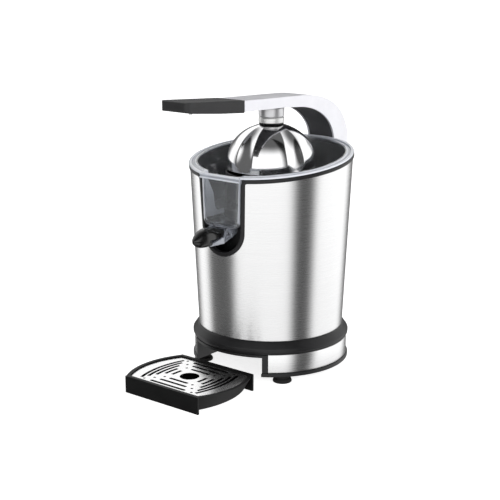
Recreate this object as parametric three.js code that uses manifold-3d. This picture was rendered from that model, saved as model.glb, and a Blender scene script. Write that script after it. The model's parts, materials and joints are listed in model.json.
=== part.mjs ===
// Citrus press juicer: a motor-driven reamer cone in a clear collector, pressed by a lever arm.
// Millimetres, +Z up. The inner model is built about the reamer's axis, with the front towards -Y.

import * as THREE from 'three';
import { mergeVertices } from 'three/addons/utils/BufferGeometryUtils.js';
import Module from 'manifold-3d';

const wasm = await Module();
wasm.setup();

// ---------------------------------------------------------------- driving dimensions
const BASE_RADIUS = 100;
const GAP = 0.3;
const BODY_TOP_RADIUS = 102;
const BODY_FOOT_RADIUS = 92.2;
const COLLAR_TOP = 53.4;
const RIM_HEIGHT = 262.6;
const RIM_SLOPE = Math.tan(THREE.MathUtils.degToRad(6.75));
const SHEET = 1.2;
const FOOT_TOP = 9.5;
const RECESS_HALF_WIDTH = 52.5;
const RECESS_TOP = 34;
const RECESS_BACK = 50;
const DECK_LEVEL = 150;
const ARM_WIDTH = 42;
const ARM_SHEET = 2.5;
const HINGE = { y: 122, z: 240 };
const TRAY_CENTRE_Y = -157.5;
const TRAY_HEIGHT = 21.1;
const GEAR_MODULE = 1.4;
const WHEEL_TEETH = 40;
const PINION_TEETH = 12;
const REACH_FRONT = -208.5;
const REACH_BACK = 138;

// ---------------------------------------------------------------- geometry helpers
// A closed manifold solid from any closed three.js geometry, with its faces turned outwards.
function solid(geometry) {
  const bare = geometry.clone();
  bare.deleteAttribute('normal');
  bare.deleteAttribute('uv');
  const merged = mergeVertices(bare, 1e-4);
  const points = merged.getAttribute('position').array;
  const triangles = fullTriangles(merged.getIndex().array);
  if (signedVolume(points, triangles) < 0) {
    for (let t = 0; t < triangles.length; t += 3) {
      [triangles[t], triangles[t + 1]] = [triangles[t + 1], triangles[t]];
    }
  }
  return new wasm.Manifold(new wasm.Mesh({
    numProp: 3,
    vertProperties: Float32Array.from(points),
    triVerts: Uint32Array.from(triangles),
  }));
}

// Triangles that keep three different corners once shared points are merged.
function fullTriangles(index) {
  const kept = [];
  for (let t = 0; t < index.length; t += 3) {
    const [a, b, c] = [index[t], index[t + 1], index[t + 2]];
    if (a !== b && b !== c && c !== a) {
      kept.push(a, b, c);
    }
  }
  return kept;
}

function signedVolume(points, triangles) {
  const corner = (i) => new THREE.Vector3(points[3 * i], points[3 * i + 1], points[3 * i + 2]);
  let sum = 0;
  for (let t = 0; t < triangles.length; t += 3) {
    sum += corner(triangles[t]).dot(corner(triangles[t + 1]).cross(corner(triangles[t + 2])));
  }
  return sum;
}

function geometryOf(body) {
  const mesh = body.getMesh();
  const geometry = new THREE.BufferGeometry();
  geometry.setAttribute('position', new THREE.BufferAttribute(mesh.vertProperties, 3));
  geometry.setIndex(new THREE.BufferAttribute(mesh.triVerts, 1));
  geometry.computeVertexNormals();
  return geometry;
}

// A turned solid about Z from a closed outline of [radius, height] points.
function turned(outline, segments = 40) {
  const points = [...outline, outline[0]].map(([r, z]) => new THREE.Vector2(r, z));
  return solid(new THREE.LatheGeometry(points, segments).rotateX(Math.PI / 2));
}

function ring(inner, outer, low, high, segments = 40) {
  return turned([[inner, low], [outer, low], [outer, high], [inner, high]], segments);
}

function rod(radius, low, high, segments = 24) {
  const length = high - low;
  const geometry = new THREE.CylinderGeometry(radius, radius, length, segments);
  return solid(geometry.rotateX(Math.PI / 2).translate(0, 0, (low + high) / 2));
}

function block(x0, x1, y0, y1, z0, z1) {
  const geometry = new THREE.BoxGeometry(x1 - x0, y1 - y0, z1 - z0);
  return solid(geometry.translate((x0 + x1) / 2, (y0 + y1) / 2, (z0 + z1) / 2));
}

// A rod along X, for pins and the holes that take them.
function crossRod(radius, halfLength, y, z, segments = 24) {
  const geometry = new THREE.CylinderGeometry(radius, radius, 2 * halfLength, segments);
  return solid(geometry.rotateZ(Math.PI / 2).translate(0, y, z));
}

function shapeOf(points) {
  return new THREE.Shape(points.map(([u, v]) => new THREE.Vector2(u, v)));
}

// A plan outline (x, y) raised from one level to another.
function raised(shape, low, high, curveSegments = 12) {
  const options = { depth: high - low, bevelEnabled: false, curveSegments };
  return solid(new THREE.ExtrudeGeometry(shape, options).translate(0, 0, low));
}

// A side outline (y, z) widened to both sides of the middle plane.
function widened(shape, halfWidth, curveSegments = 12) {
  const options = { depth: 2 * halfWidth, bevelEnabled: false, curveSegments };
  const axes = new THREE.Matrix4().makeBasis(
    new THREE.Vector3(0, 1, 0),
    new THREE.Vector3(0, 0, 1),
    new THREE.Vector3(1, 0, 0),
  );
  const geometry = new THREE.ExtrudeGeometry(shape, options).applyMatrix4(axes);
  return solid(geometry.translate(-halfWidth, 0, 0));
}

// A front outline (x, z) run from the plane y = back towards the front plane y = front.
function runForward(shape, back, front, curveSegments = 12) {
  const options = { depth: back - front, bevelEnabled: false, curveSegments };
  const axes = new THREE.Matrix4().makeBasis(
    new THREE.Vector3(1, 0, 0),
    new THREE.Vector3(0, 0, 1),
    new THREE.Vector3(0, -1, 0),
  );
  const geometry = new THREE.ExtrudeGeometry(shape, options).applyMatrix4(axes);
  return solid(geometry.translate(0, back, 0));
}

// Tilts every level of a body to the slope of the rim, which falls towards the front.
function sloped(body) {
  const shear = new THREE.Matrix4().set(1, 0, 0, 0, 0, 1, 0, 0, 0, RIM_SLOPE, 1, 0, 0, 0, 0, 1);
  return solid(geometryOf(body).applyMatrix4(shear));
}

function aboveRim(lift) {
  const REACH = 130;
  return sloped(block(-REACH, REACH, -REACH, REACH, RIM_HEIGHT + lift, RIM_HEIGHT + lift + 90));
}

function moved(body, x, y, z = 0) {
  return body.translate([x, y, z]);
}

function spun(body, degrees) {
  return body.rotate([0, 0, degrees]);
}

function joined(bodies) {
  return bodies.reduce((whole, body) => whole.add(body));
}

// ---------------------------------------------------------------- materials
const LOOKS = {
  blackPlastic: { color: 0x18191b, roughness: 0.32, metalness: 0.0 },
  rubber: { color: 0x1c1c1c, roughness: 0.85, metalness: 0.0 },
  brushedSteel: { color: 0xb9bbbe, roughness: 0.3, metalness: 1.0 },
  chrome: { color: 0xdfe1e4, roughness: 0.06, metalness: 1.0 },
  silverPaint: { color: 0xd9dade, roughness: 0.35, metalness: 0.6 },
  clearPlastic: { color: 0xdfe8ee, roughness: 0.05, metalness: 0.0, transparent: true, opacity: 0.35 },
  greyPlastic: { color: 0x55575a, roughness: 0.5, metalness: 0.0 },
  whiteNylon: { color: 0xe8e6df, roughness: 0.5, metalness: 0.0 },
  copper: { color: 0xb06a3a, roughness: 0.4, metalness: 0.8 },
};

const model = new THREE.Group();

function place(name, body, look) {
  const material = new THREE.MeshStandardMaterial(LOOKS[look]);
  const mesh = new THREE.Mesh(geometryOf(body), material);
  mesh.name = name;
  model.add(mesh);
}

// ---------------------------------------------------------------- body cone and U notch
function bodyRadius(z) {
  const CONE_TOP = 258;
  const share = (z - COLLAR_TOP) / (CONE_TOP - COLLAR_TOP);
  return BODY_FOOT_RADIUS + (BODY_TOP_RADIUS - BODY_FOOT_RADIUS) * share;
}

const CONE_REACH = 285;
const NOTCH = { centreZ: 190, outerRadius: 33, band: 5, flare: 3.2, top: CONE_REACH };

// The notch outline: a half circle below, and sides that open a little towards the top.
function notchOutline(inset) {
  const radius = NOTCH.outerRadius - inset;
  const topHalf = radius + NOTCH.flare * (NOTCH.top - NOTCH.centreZ) / (RIM_HEIGHT - NOTCH.centreZ);
  const shape = new THREE.Shape();
  shape.moveTo(topHalf, NOTCH.top);
  shape.lineTo(-topHalf, NOTCH.top);
  shape.lineTo(-radius, NOTCH.centreZ);
  shape.absarc(0, NOTCH.centreZ, radius, Math.PI, 2 * Math.PI, false);
  return shape;
}

function notchCut(inset, back = -60) {
  return runForward(notchOutline(inset), back, -125, 14);
}

function coneLayer(outset, thickness, low, high) {
  return turned([
    [bodyRadius(low) + outset, low],
    [bodyRadius(high) + outset, high],
    [bodyRadius(high) + outset - thickness, high],
    [bodyRadius(low) + outset - thickness, low],
  ], 40);
}

function makeBodyShell() {
  const shell = coneLayer(0, SHEET, COLLAR_TOP + GAP, CONE_REACH);
  place('body_shell', shell.subtract(aboveRim(TRIM.low)).subtract(notchCut(-GAP)), 'brushedSteel');
}

// The trim's low and height are measured from the level of the rim.
const TRIM = { low: -1, height: 4, outer: 103.6, inner: 97, bandProud: 1.1, bandDepth: 7 };

function makeRimTrim() {
  const low = RIM_HEIGHT + TRIM.low + GAP;
  const top = sloped(ring(TRIM.inner, TRIM.outer, low, RIM_HEIGHT + TRIM.height, 40));
  const bandLayer = coneLayer(TRIM.bandProud, TRIM.bandDepth, NOTCH.centreZ - 40, CONE_REACH);
  const band = notchCut(0).subtract(notchCut(NOTCH.band)).intersect(bandLayer);
  const cutBand = band.subtract(aboveRim(TRIM.height));
  place('rim_trim', top.subtract(notchCut(NOTCH.band)).add(cutBand), 'blackPlastic');
}

const HOUSING = { wall: 2.5, deck: 3, seatInner: 70, seatOuter: 73, seatTop: 204.5, shaftHole: 9 };

// The inner housing: the deck over the drive, the wall inside the shell and the collector's seat.
function makeInnerHousing() {
  const outset = -(SHEET + GAP);
  const deckTop = DECK_LEVEL + HOUSING.deck;
  const wall = coneLayer(outset, HOUSING.wall, DECK_LEVEL, CONE_REACH);
  const deckRadius = bodyRadius(DECK_LEVEL) + outset - 1;
  const deck = ring(HOUSING.shaftHole, deckRadius, DECK_LEVEL, deckTop, 40);
  const seat = ring(HOUSING.seatInner, HOUSING.seatOuter, DECK_LEVEL + 1, HOUSING.seatTop, 24);
  const seatGap = block(-30, 30, -90, -55, COLLECTOR.windowFloor - 1.5, HOUSING.seatTop + 1);
  const cup = wall.subtract(aboveRim(TRIM.low)).subtract(notchCut(-GAP, -78));
  place('inner_housing', joined([cup, deck, seat.subtract(seatGap)]), 'blackPlastic');
}

// ---------------------------------------------------------------- base
const BAND = { low: 14.2, high: 37.9, radius: 98, seat: 96.6, frontHalfWidth: 58.5 };
const PLINTH = { wallRadius: 93.4, creaseZ: 40.4, ceiling: 3.2, frame: 5.5, cheekRadius: 98.6 };

function plinthRing() {
  return turned([
    [PLINTH.wallRadius, FOOT_TOP],
    [BASE_RADIUS, FOOT_TOP],
    [BASE_RADIUS, BAND.low],
    [BAND.seat, BAND.low],
    [BAND.seat, BAND.high + GAP],
    [BASE_RADIUS - 1.2, BAND.high + GAP],
    [BASE_RADIUS, PLINTH.creaseZ + 1.2],
    [BASE_RADIUS, PLINTH.creaseZ + 3.4],
    [BASE_RADIUS - 1.2, PLINTH.creaseZ + 6.2],
    [BODY_FOOT_RADIUS + 2.4, COLLAR_TOP - 1],
    [BODY_FOOT_RADIUS + 0.2, COLLAR_TOP],
    [BODY_FOOT_RADIUS - 3.7, COLLAR_TOP],
    [PLINTH.wallRadius, COLLAR_TOP - 5],
  ], 40);
}

function recessBlock(halfWidth, back, low, high) {
  return block(-halfWidth, halfWidth, -BASE_RADIUS - 10, back, low, high);
}

const GLAND = { z: 26, radius: 5, flange: 8 };

function rearRod(radius, y0, y1, segments = 20) {
  const geometry = new THREE.CylinderGeometry(radius, radius, y1 - y0, segments);
  return solid(geometry.translate(0, (y0 + y1) / 2, GLAND.z));
}

function makePlinth() {
  const outerHalf = RECESS_HALF_WIDTH + PLINTH.frame;
  const top = RECESS_TOP + PLINTH.ceiling;
  const walls = recessBlock(outerHalf, RECESS_BACK + 3, FOOT_TOP, top);
  const inside = rod(PLINTH.cheekRadius, 0, top + 1, 40);
  const recess = recessBlock(RECESS_HALF_WIDTH, RECESS_BACK, 0, RECESS_TOP);
  const whole = plinthRing().add(walls.intersect(inside)).subtract(recess);
  place('plinth', whole.subtract(rearRod(GLAND.radius + GAP, 80, 110)), 'blackPlastic');
}

function makeBand() {
  const band = ring(BAND.seat + GAP, BAND.radius, BAND.low + GAP, BAND.high - GAP, 40);
  const frontGap = recessBlock(BAND.frontHalfWidth, 0, 0, 60);
  const clear = rearRod(GLAND.radius + GAP, 80, 110);
  place('base_band', band.subtract(frontGap).subtract(clear), 'brushedSteel');
}

function makeCordGland() {
  const bush = rearRod(GLAND.radius, 88, 98.6).add(rearRod(GLAND.flange, 98.4, 101.4));
  place('cord_gland', bush.subtract(rearRod(3.2, 80, 110)), 'rubber');
}

const COVER = { thickness: 2.5, radius: 93, holeRadius: 2.4 };
const TIE = { radius: 2, head: 4.5, spots: [[75, -30], [-75, -30], [0, 80]] };

function makeBottomCover() {
  const low = FOOT_TOP;
  const plate = rod(COVER.radius, low, low + COVER.thickness, 40);
  const reach = RECESS_HALF_WIDTH + PLINTH.frame + GAP;
  let cover = plate.subtract(recessBlock(reach, RECESS_BACK + 3 + GAP, 0, 60));
  for (const [x, y] of TIE.spots) {
    cover = cover.subtract(moved(rod(COVER.holeRadius, 0, 30, 12), x, y));
  }
  place('bottom_cover', cover, 'blackPlastic');
}

// Long screws from the bottom cover to the deck, which clamp the shell between plinth and rim.
function makeTieRods() {
  TIE.spots.forEach(([x, y], i) => {
    const shank = rod(TIE.radius, 8.5, DECK_LEVEL - GAP, 12);
    const head = rod(TIE.head, 6.9, FOOT_TOP - GAP, 12);
    place(`tie_rod_${i + 1}`, moved(shank.add(head), x, y), 'brushedSteel');
  });
}

function makeFeet() {
  const FOOT = { x: 64.5, y: 58, radius: 12, neck: 9, padTop: 4 };
  let count = 0;
  for (const side of [-1, 1]) {
    for (const end of [-1, 1]) {
      count += 1;
      const foot = turned([
        [0, 0],
        [FOOT.radius, 0],
        [FOOT.radius - 0.6, FOOT.padTop],
        [FOOT.neck, FOOT.padTop + 1.4],
        [FOOT.neck, FOOT_TOP - GAP],
        [0, FOOT_TOP - GAP],
      ], 16);
      place(`foot_${count}`, moved(foot, side * FOOT.x, end * FOOT.y), 'rubber');
    }
  }
}

// ---------------------------------------------------------------- drive
const CENTRES = GEAR_MODULE * (WHEEL_TEETH + PINION_TEETH) / 2;
const IDLER = { x: 30, y: Math.sqrt(CENTRES ** 2 - 30 ** 2) };
const MOTOR = { x: 0, y: 2 * IDLER.y };
const LEVEL = {
  tubFloor: 112, tubInside: 115, wheelLow: 118, wheelHigh: 124, secondLow: 127, secondHigh: 135,
  tubTop: 145.7, coverTop: 149.7,
};
const SHAFT = { radius: 4, low: 107, top: 258, hexTop: 139, collar: 7, collarLow: 143, collarTop: 145 };

// A spur gear with straight flanks; a tooth or a gap points along the given direction.
function gear(teeth, low, high, direction, pointsTooth, boreRadius, boreSides = 16) {
  const pitch = GEAR_MODULE * teeth / 2;
  const tip = pitch + 0.72 * GEAR_MODULE;
  const root = pitch - 1.0 * GEAR_MODULE;
  const step = 2 * Math.PI / teeth;
  const offset = direction + (pointsTooth ? 0 : step / 2);
  const rootHalf = 0.31 * step;
  const tipHalf = 0.12 * step;
  const points = [];
  for (let t = 0; t < teeth; t += 1) {
    const middle = offset + t * step;
    points.push([root * Math.cos(middle - rootHalf), root * Math.sin(middle - rootHalf)]);
    points.push([tip * Math.cos(middle - tipHalf), tip * Math.sin(middle - tipHalf)]);
    points.push([tip * Math.cos(middle + tipHalf), tip * Math.sin(middle + tipHalf)]);
    points.push([root * Math.cos(middle + rootHalf), root * Math.sin(middle + rootHalf)]);
  }
  const body = raised(shapeOf(points), low, high);
  return body.subtract(rod(boreRadius, low - 20, high + 20, boreSides));
}

function makeOutputGear() {
  const toIdler = Math.atan2(IDLER.y, IDLER.x);
  const wheel = gear(WHEEL_TEETH, LEVEL.secondLow, LEVEL.secondHigh, toIdler, false, 1);
  const hub = rod(8, LEVEL.wheelHigh + 0.6, LEVEL.secondHigh + 1);
  const bore = rod(SHAFT.radius + 0.35, 100, 150, 6);
  place('output_gear', wheel.add(hub).subtract(bore), 'whiteNylon');
}

function makeIdler() {
  const toOutput = Math.atan2(-IDLER.y, -IDLER.x);
  const toMotor = Math.atan2(MOTOR.y - IDLER.y, MOTOR.x - IDLER.x);
  const wheel = gear(WHEEL_TEETH, LEVEL.wheelLow, LEVEL.wheelHigh, toMotor, false, 1);
  const pinion = gear(PINION_TEETH, LEVEL.wheelHigh - 1, LEVEL.secondHigh + 1, toOutput, true, 1);
  const bore = rod(2.8, 100, 150, 16);
  place('idler_gear', moved(wheel.add(pinion).subtract(bore), IDLER.x, IDLER.y), 'whiteNylon');
  const pin = rod(2.5, LEVEL.tubFloor + 0.5, LEVEL.coverTop - 0.5, 16);
  place('idler_pin', moved(pin, IDLER.x, IDLER.y), 'brushedSteel');
}

function makeMotorPinion() {
  const toIdler = Math.atan2(IDLER.y - MOTOR.y, IDLER.x - MOTOR.x);
  const pinion = gear(PINION_TEETH, LEVEL.wheelLow - 1, LEVEL.wheelHigh + 1, toIdler, true, 2.8);
  place('motor_pinion', moved(pinion, MOTOR.x, MOTOR.y), 'brushedSteel');
}

function makeRotor() {
  const rotor = turned([
    [0, 39.5], [2.5, 39.5], [2.5, 50], [8, 50], [8, 57], [17, 58], [17, 98], [8, 99],
    [2.5, 103], [2.5, 126.5], [0, 126.5],
  ], 16);
  place('motor_rotor', moved(rotor, MOTOR.x, MOTOR.y), 'copper');
}

function makeFan() {
  const FAN = { low: 39.5, plate: 41, high: 45.8, radius: 22, blades: 7 };
  const blades = [];
  for (let i = 0; i < FAN.blades; i += 1) {
    const blade = block(5, FAN.radius - 0.5, -0.8, 0.8, FAN.plate - 0.5, FAN.high);
    blades.push(spun(blade, i * 360 / FAN.blades));
  }
  const disc = rod(FAN.radius, FAN.low, FAN.plate, 24).add(rod(6, FAN.low, FAN.high, 16));
  const fan = joined([disc, ...blades]).subtract(rod(2.8, 0, 60, 16));
  place('cooling_fan', moved(fan, MOTOR.x, MOTOR.y), 'greyPlastic');
}

const CAN = { radius: 30, wall: 2.2, low: 47, high: 107, hole: 4 };

function makeMotor() {
  const inner = CAN.radius - CAN.wall;
  const can = turned([
    [CAN.hole, CAN.low], [CAN.radius, CAN.low], [CAN.radius, CAN.high], [inner, CAN.high],
    [inner, CAN.low + 2], [CAN.hole, CAN.low + 2],
  ], 24);
  place('motor_can', moved(can, MOTOR.x, MOTOR.y), 'brushedSteel');
  const field = ring(18, inner - GAP, 60, 97, 24);
  place('field_ring', moved(field, MOTOR.x, MOTOR.y), 'greyPlastic');
  const cap = ring(CAN.hole, inner - GAP, 104, CAN.high, 24);
  place('motor_end_cap', moved(cap, MOTOR.x, MOTOR.y), 'greyPlastic');
  const mount = ring(6, CAN.radius, CAN.high + GAP, LEVEL.tubFloor - GAP, 24);
  place('motor_mount', moved(mount, MOTOR.x, MOTOR.y), 'greyPlastic');
}

// The gearbox outline: three overlapping discs round the output, the idler and the motor pinion.
function gearboxSlab(margin, low, high) {
  return joined([
    rod(31 + margin, low, high, 28),
    moved(rod(31 + margin, low, high, 28), IDLER.x, IDLER.y),
    moved(rod(12 + margin, low, high, 16), MOTOR.x, MOTOR.y),
  ]);
}

function makeGearbox() {
  const WALL = 2.5;
  const pinHole = moved(rod(2.8, 100, 160, 16), IDLER.x, IDLER.y);
  const tub = gearboxSlab(WALL, LEVEL.tubFloor, LEVEL.tubTop)
    .subtract(gearboxSlab(0, LEVEL.tubInside, LEVEL.tubTop + 1))
    .subtract(rod(SHAFT.radius + 0.6, 100, 160))
    .subtract(moved(rod(CAN.hole, 100, 160), MOTOR.x, MOTOR.y))
    .subtract(pinHole);
  place('gearbox_housing', tub, 'greyPlastic');
  const cover = gearboxSlab(WALL, LEVEL.tubTop + GAP, LEVEL.coverTop)
    .subtract(rod(BUSH.outer + GAP, 100, 160, 20))
    .subtract(pinHole);
  place('gearbox_cover', cover, 'greyPlastic');
}

const BUSH = { inner: SHAFT.radius + GAP, outer: 7.4 };

function makeBushAndSeal() {
  place('shaft_bush', ring(BUSH.inner, BUSH.outer, LEVEL.tubTop + GAP, LEVEL.coverTop, 20), 'copper');
  const seal = turned([
    [BUSH.inner, DECK_LEVEL + GAP],
    [HOUSING.shaftHole - GAP, DECK_LEVEL + GAP],
    [HOUSING.shaftHole - GAP, DECK_LEVEL + 4],
    [BUSH.inner + 1, DECK_LEVEL + 7],
    [BUSH.inner, DECK_LEVEL + 7],
  ], 20);
  place('shaft_seal', seal, 'rubber');
}

function makeDriveShaft() {
  const round = rod(SHAFT.radius, SHAFT.hexTop, SHAFT.top, 16);
  const hex = rod(SHAFT.radius, SHAFT.low, SHAFT.hexTop + 0.5, 6);
  const collar = rod(SHAFT.collar, SHAFT.collarLow, SHAFT.collarTop, 16);
  place('drive_shaft', joined([round, hex, collar]), 'brushedSteel');
}

class Helix extends THREE.Curve {
  constructor(radius, low, high, turns) {
    super();
    Object.assign(this, { radius, low, high, turns });
  }

  getPoint(share, target = new THREE.Vector3()) {
    const angle = share * this.turns * 2 * Math.PI;
    const z = THREE.MathUtils.lerp(this.low, this.high, share);
    return target.set(this.radius * Math.cos(angle), this.radius * Math.sin(angle), z);
  }
}

function makeReturnSpring() {
  const WIRE = 0.7;
  const TURNS = 3;
  const STEPS_PER_TURN = 9;
  const low = LEVEL.secondHigh + 1 + GAP + WIRE;
  const path = new Helix(6, low, SHAFT.collarLow - GAP - WIRE, TURNS);
  const section = new THREE.Shape().absarc(0, 0, WIRE, 0, 2 * Math.PI, false);
  const options = { steps: TURNS * STEPS_PER_TURN, curveSegments: 5, bevelEnabled: false, extrudePath: path };
  place('return_spring', solid(new THREE.ExtrudeGeometry(section, options)), 'brushedSteel');
}

const SWITCH = { top: 101, low: 90, halfX: 10, halfY: 4, plungerTop: SHAFT.low - GAP };

function makeSwitch() {
  const hole = rod(2.1, SWITCH.low + 2, SWITCH.top + 1, 12);
  const body = block(-SWITCH.halfX, SWITCH.halfX, -SWITCH.halfY, SWITCH.halfY, SWITCH.low, SWITCH.top);
  place('microswitch', body.subtract(hole), 'greyPlastic');
  place('switch_plunger', rod(1.7, SWITCH.low + 4.5, SWITCH.plungerTop, 12), 'whiteNylon');
  const front = -SWITCH.halfY - GAP;
  const leg = block(-12, 12, front - 1.5, front, SWITCH.low - 2, LEVEL.tubFloor - GAP);
  const foot = block(-12, 12, front - 10, front, LEVEL.tubFloor - GAP - 1.5, LEVEL.tubFloor - GAP);
  place('switch_bracket', leg.add(foot), 'brushedSteel');
}

function makeTerminalBlock() {
  const low = RECESS_TOP + PLINTH.ceiling + GAP;
  let body = block(-60, -34, -22, -6, low, low + 13);
  for (const x of [-54, -47, -40]) {
    body = body.subtract(moved(rod(2, low + 5, low + 20, 12), x, -14));
  }
  place('terminal_block', body, 'whiteNylon');
}

// ---------------------------------------------------------------- juice path
const COLLECTOR = {
  floor: 205, wall: 2.6, cupOuter: 86, shoulder: 230, mouthOuter: 95, mouthLow: 248,
  flangeOuter: 103.4, flangeLift: 4.4, flangeTop: 6.8,
  windowHalf: 27.8, windowFront: -100, windowFloor: 194, hubInner: 7, hubOuter: 10, hubTop: 226,
};
const CHUTE = { halfOuter: 15, halfInner: 12.6, hole: 9, taper: -109, tip: -121, tipHalf: 1.5 };
const SPOUT_PIN = { y: -101.5, z: 187.5, radius: 1.5, hole: 1.8 };

// The cup stands on the housing's seat and opens out to a wider mouth under its flange.
function cupOutside() {
  const { floor, cupOuter, shoulder, mouthOuter, mouthLow } = COLLECTOR;
  return turned([
    [0, floor], [cupOuter - 8, floor], [cupOuter - 2, floor + 7], [cupOuter, shoulder],
    [mouthOuter, mouthLow], [mouthOuter, CONE_REACH], [0, CONE_REACH],
  ], 40);
}

function cupInside() {
  const { floor, wall, cupOuter, shoulder, mouthOuter, mouthLow } = COLLECTOR;
  const radius = cupOuter - wall;
  const mouth = mouthOuter - wall;
  return turned([
    [0, floor + wall], [radius - 6.2, floor + wall], [radius - 2, floor + 7.5], [radius, shoulder],
    [mouth, mouthLow], [mouth, CONE_REACH + 1], [0, CONE_REACH + 1],
  ], 40);
}

// The flat-fronted pocket behind the window, which gathers the juice over the chute.
function windowBox(inset, top) {
  const { windowHalf, windowFront, windowFloor } = COLLECTOR;
  const CORNER = 8;
  const half = windowHalf - inset;
  const low = windowFloor + inset;
  const corner = CORNER - inset;
  const shape = new THREE.Shape();
  shape.moveTo(half, top);
  shape.lineTo(-half, top);
  shape.lineTo(-half, low + corner);
  shape.absarc(-half + corner, low + corner, corner, Math.PI, 1.5 * Math.PI, false);
  shape.absarc(half - corner, low + corner, corner, 1.5 * Math.PI, 2 * Math.PI, false);
  return runForward(shape, -60, windowFront + inset, 5);
}

// The chute runs down from the pocket, and its sides close in to a narrow tip that sheds drops.
function chuteBody() {
  const { halfOuter, taper, tip, tipHalf } = CHUTE;
  const side = widened(shapeOf([
    [-84, 196], [-84, 187], [-92, 183.5], [-120.5, 173.5], [-120.5, 175], [-108, 186],
    [-106, 191], [-101, 194.5], [-98, 196],
  ]), halfOuter);
  const plan = shapeOf([
    [-halfOuter, -80], [-halfOuter, taper], [-tipHalf, tip], [tipHalf, tip], [halfOuter, taper],
    [halfOuter, -80],
  ]);
  return side.intersect(raised(plan, 170, 200));
}

function chuteChannel() {
  const channel = widened(shapeOf([
    [-87, 193.7], [-87, 189.5], [-92.5, 186.2], [-124, 175.2], [-124, 193.7],
  ]), CHUTE.halfInner);
  const drop = block(-CHUTE.hole, CHUTE.hole, -96, -87.5, 188, 198);
  return channel.add(drop);
}

function makeCollector() {
  const { wall, mouthOuter, flangeOuter, flangeLift, flangeTop, floor, windowFront } = COLLECTOR;
  const { hubInner, hubOuter, hubTop } = COLLECTOR;
  const MERGE = 0.8;
  const flushHalf = NOTCH.outerRadius - NOTCH.band + NOTCH.flare;
  const flush = block(-flushHalf, flushHalf, -110, windowFront, 200, CONE_REACH);
  const flangeLow = RIM_HEIGHT + flangeLift;
  const flange = sloped(ring(mouthOuter - 1, flangeOuter, flangeLow, RIM_HEIGHT + flangeTop, 40));
  const walls = joined([cupOutside(), windowBox(0, CONE_REACH)]);
  const outside = walls.add(chuteBody()).subtract(aboveRim(flangeLift + MERGE))
    .add(flange.subtract(flush))
    .add(walls.subtract(aboveRim(flangeTop)));
  const pocket = windowBox(wall, CONE_REACH);
  const body = outside.subtract(cupInside().add(pocket))
    .add(rod(hubOuter, floor, hubTop, 20))
    .subtract(rod(hubInner, floor - 1, hubTop + 1, 20))
    .subtract(chuteChannel())
    .subtract(crossRod(SPOUT_PIN.hole, 30, SPOUT_PIN.y, SPOUT_PIN.z, 12));
  place('juice_collector', body, 'clearPlastic');
  place('spout_pin', crossRod(SPOUT_PIN.radius, 15.6, SPOUT_PIN.y, SPOUT_PIN.z, 12), 'brushedSteel');
}

function makeSpout() {
  const HALF = 12;
  const WALL = 2.2;
  const outside = new THREE.Shape();
  outside.moveTo(-104, 191.4);
  outside.lineTo(-106.6, 191.6);
  outside.lineTo(-112, 196);
  outside.quadraticCurveTo(-130, 199.5, -142, 191);
  outside.quadraticCurveTo(-148.6, 186.4, -148.4, 183.6);
  outside.quadraticCurveTo(-146.5, 175.4, -134, 174.8);
  outside.lineTo(-123, 175.9);
  outside.lineTo(-105, 183.4);
  const inside = new THREE.Shape();
  inside.moveTo(-107, 187);
  inside.lineTo(-111.5, 193);
  inside.quadraticCurveTo(-130, 196.6, -140.6, 189);
  inside.quadraticCurveTo(-145.6, 185.4, -145.4, 183.4);
  inside.lineTo(-142, 170);
  inside.lineTo(-123, 170);
  const knuckle = crossRod(3.8, HALF, SPOUT_PIN.y, SPOUT_PIN.z, 16);
  const body = widened(outside, HALF, 5).subtract(widened(inside, HALF - WALL, 5)).add(knuckle);
  const bore = crossRod(SPOUT_PIN.hole, 30, SPOUT_PIN.y, SPOUT_PIN.z, 12);
  place('spout', body.subtract(bore), 'blackPlastic');
}

function makeStrainer() {
  const FLOOR = { low: 214, high: 216 };
  const basket = turned([
    [10.6, FLOOR.low], [57.5, FLOOR.low], [57.5, 249], [55.2, 249], [55.2, FLOOR.high],
    [13, FLOOR.high], [13, 224], [10.6, 224],
  ], 28);
  const SLOTS = 16;
  const slots = [];
  for (let i = 0; i < SLOTS; i += 1) {
    const slot = block(20, 49, -1.2, 1.2, FLOOR.low - 1, FLOOR.high + 1);
    slots.push(spun(slot, (i + 0.5) * 360 / SLOTS));
  }
  const legs = [];
  for (let i = 0; i < 4; i += 1) {
    const leg = block(50.5, 55, -4, 4, COLLECTOR.floor + COLLECTOR.wall + GAP, FLOOR.low + 0.5);
    legs.push(spun(leg, 45 + i * 90));
  }
  place('strainer', basket.subtract(joined(slots)).add(joined(legs)), 'blackPlastic');
}

const REAMER = { low: 229.4, rim: 40, tip: 287 };

function reamerOutline(shrink) {
  const { low, rim, tip } = REAMER;
  const shape = new THREE.Shape();
  shape.moveTo(0, low);
  shape.lineTo(rim - shrink, low);
  shape.lineTo(rim - 4 - shrink, low + 5);
  shape.quadraticCurveTo(25 - shrink, low + 22, 11 - shrink, tip - 8 - shrink);
  shape.quadraticCurveTo(6 - shrink, tip - 1 - shrink, 0, tip - shrink);
  return shape.getPoints(2).map((p) => [Math.max(p.x, 0), p.y]);
}

function makeReamer() {
  const RIBS = 6;
  const core = turned(reamerOutline(4), 20);
  const disc = rod(REAMER.rim, REAMER.low, REAMER.low + 3, 20);
  const ribs = [];
  for (let i = 0; i < RIBS; i += 1) {
    const half = widened(shapeOf(reamerOutline(0)), 1.6);
    ribs.push(spun(half, (i + 0.5) * 360 / RIBS));
  }
  const hollow = moved(turned(reamerOutline(8), 20), 0, 0, -1);
  const socket = rod(8, REAMER.low, REAMER.tip - 10, 12);
  const body = joined([core, disc, ...ribs]).subtract(hollow).add(socket);
  const bore = rod(SHAFT.radius + GAP + 0.1, REAMER.low - 5, SHAFT.top + GAP, 16);
  place('reamer_cone', body.subtract(bore), 'blackPlastic');
}

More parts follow.
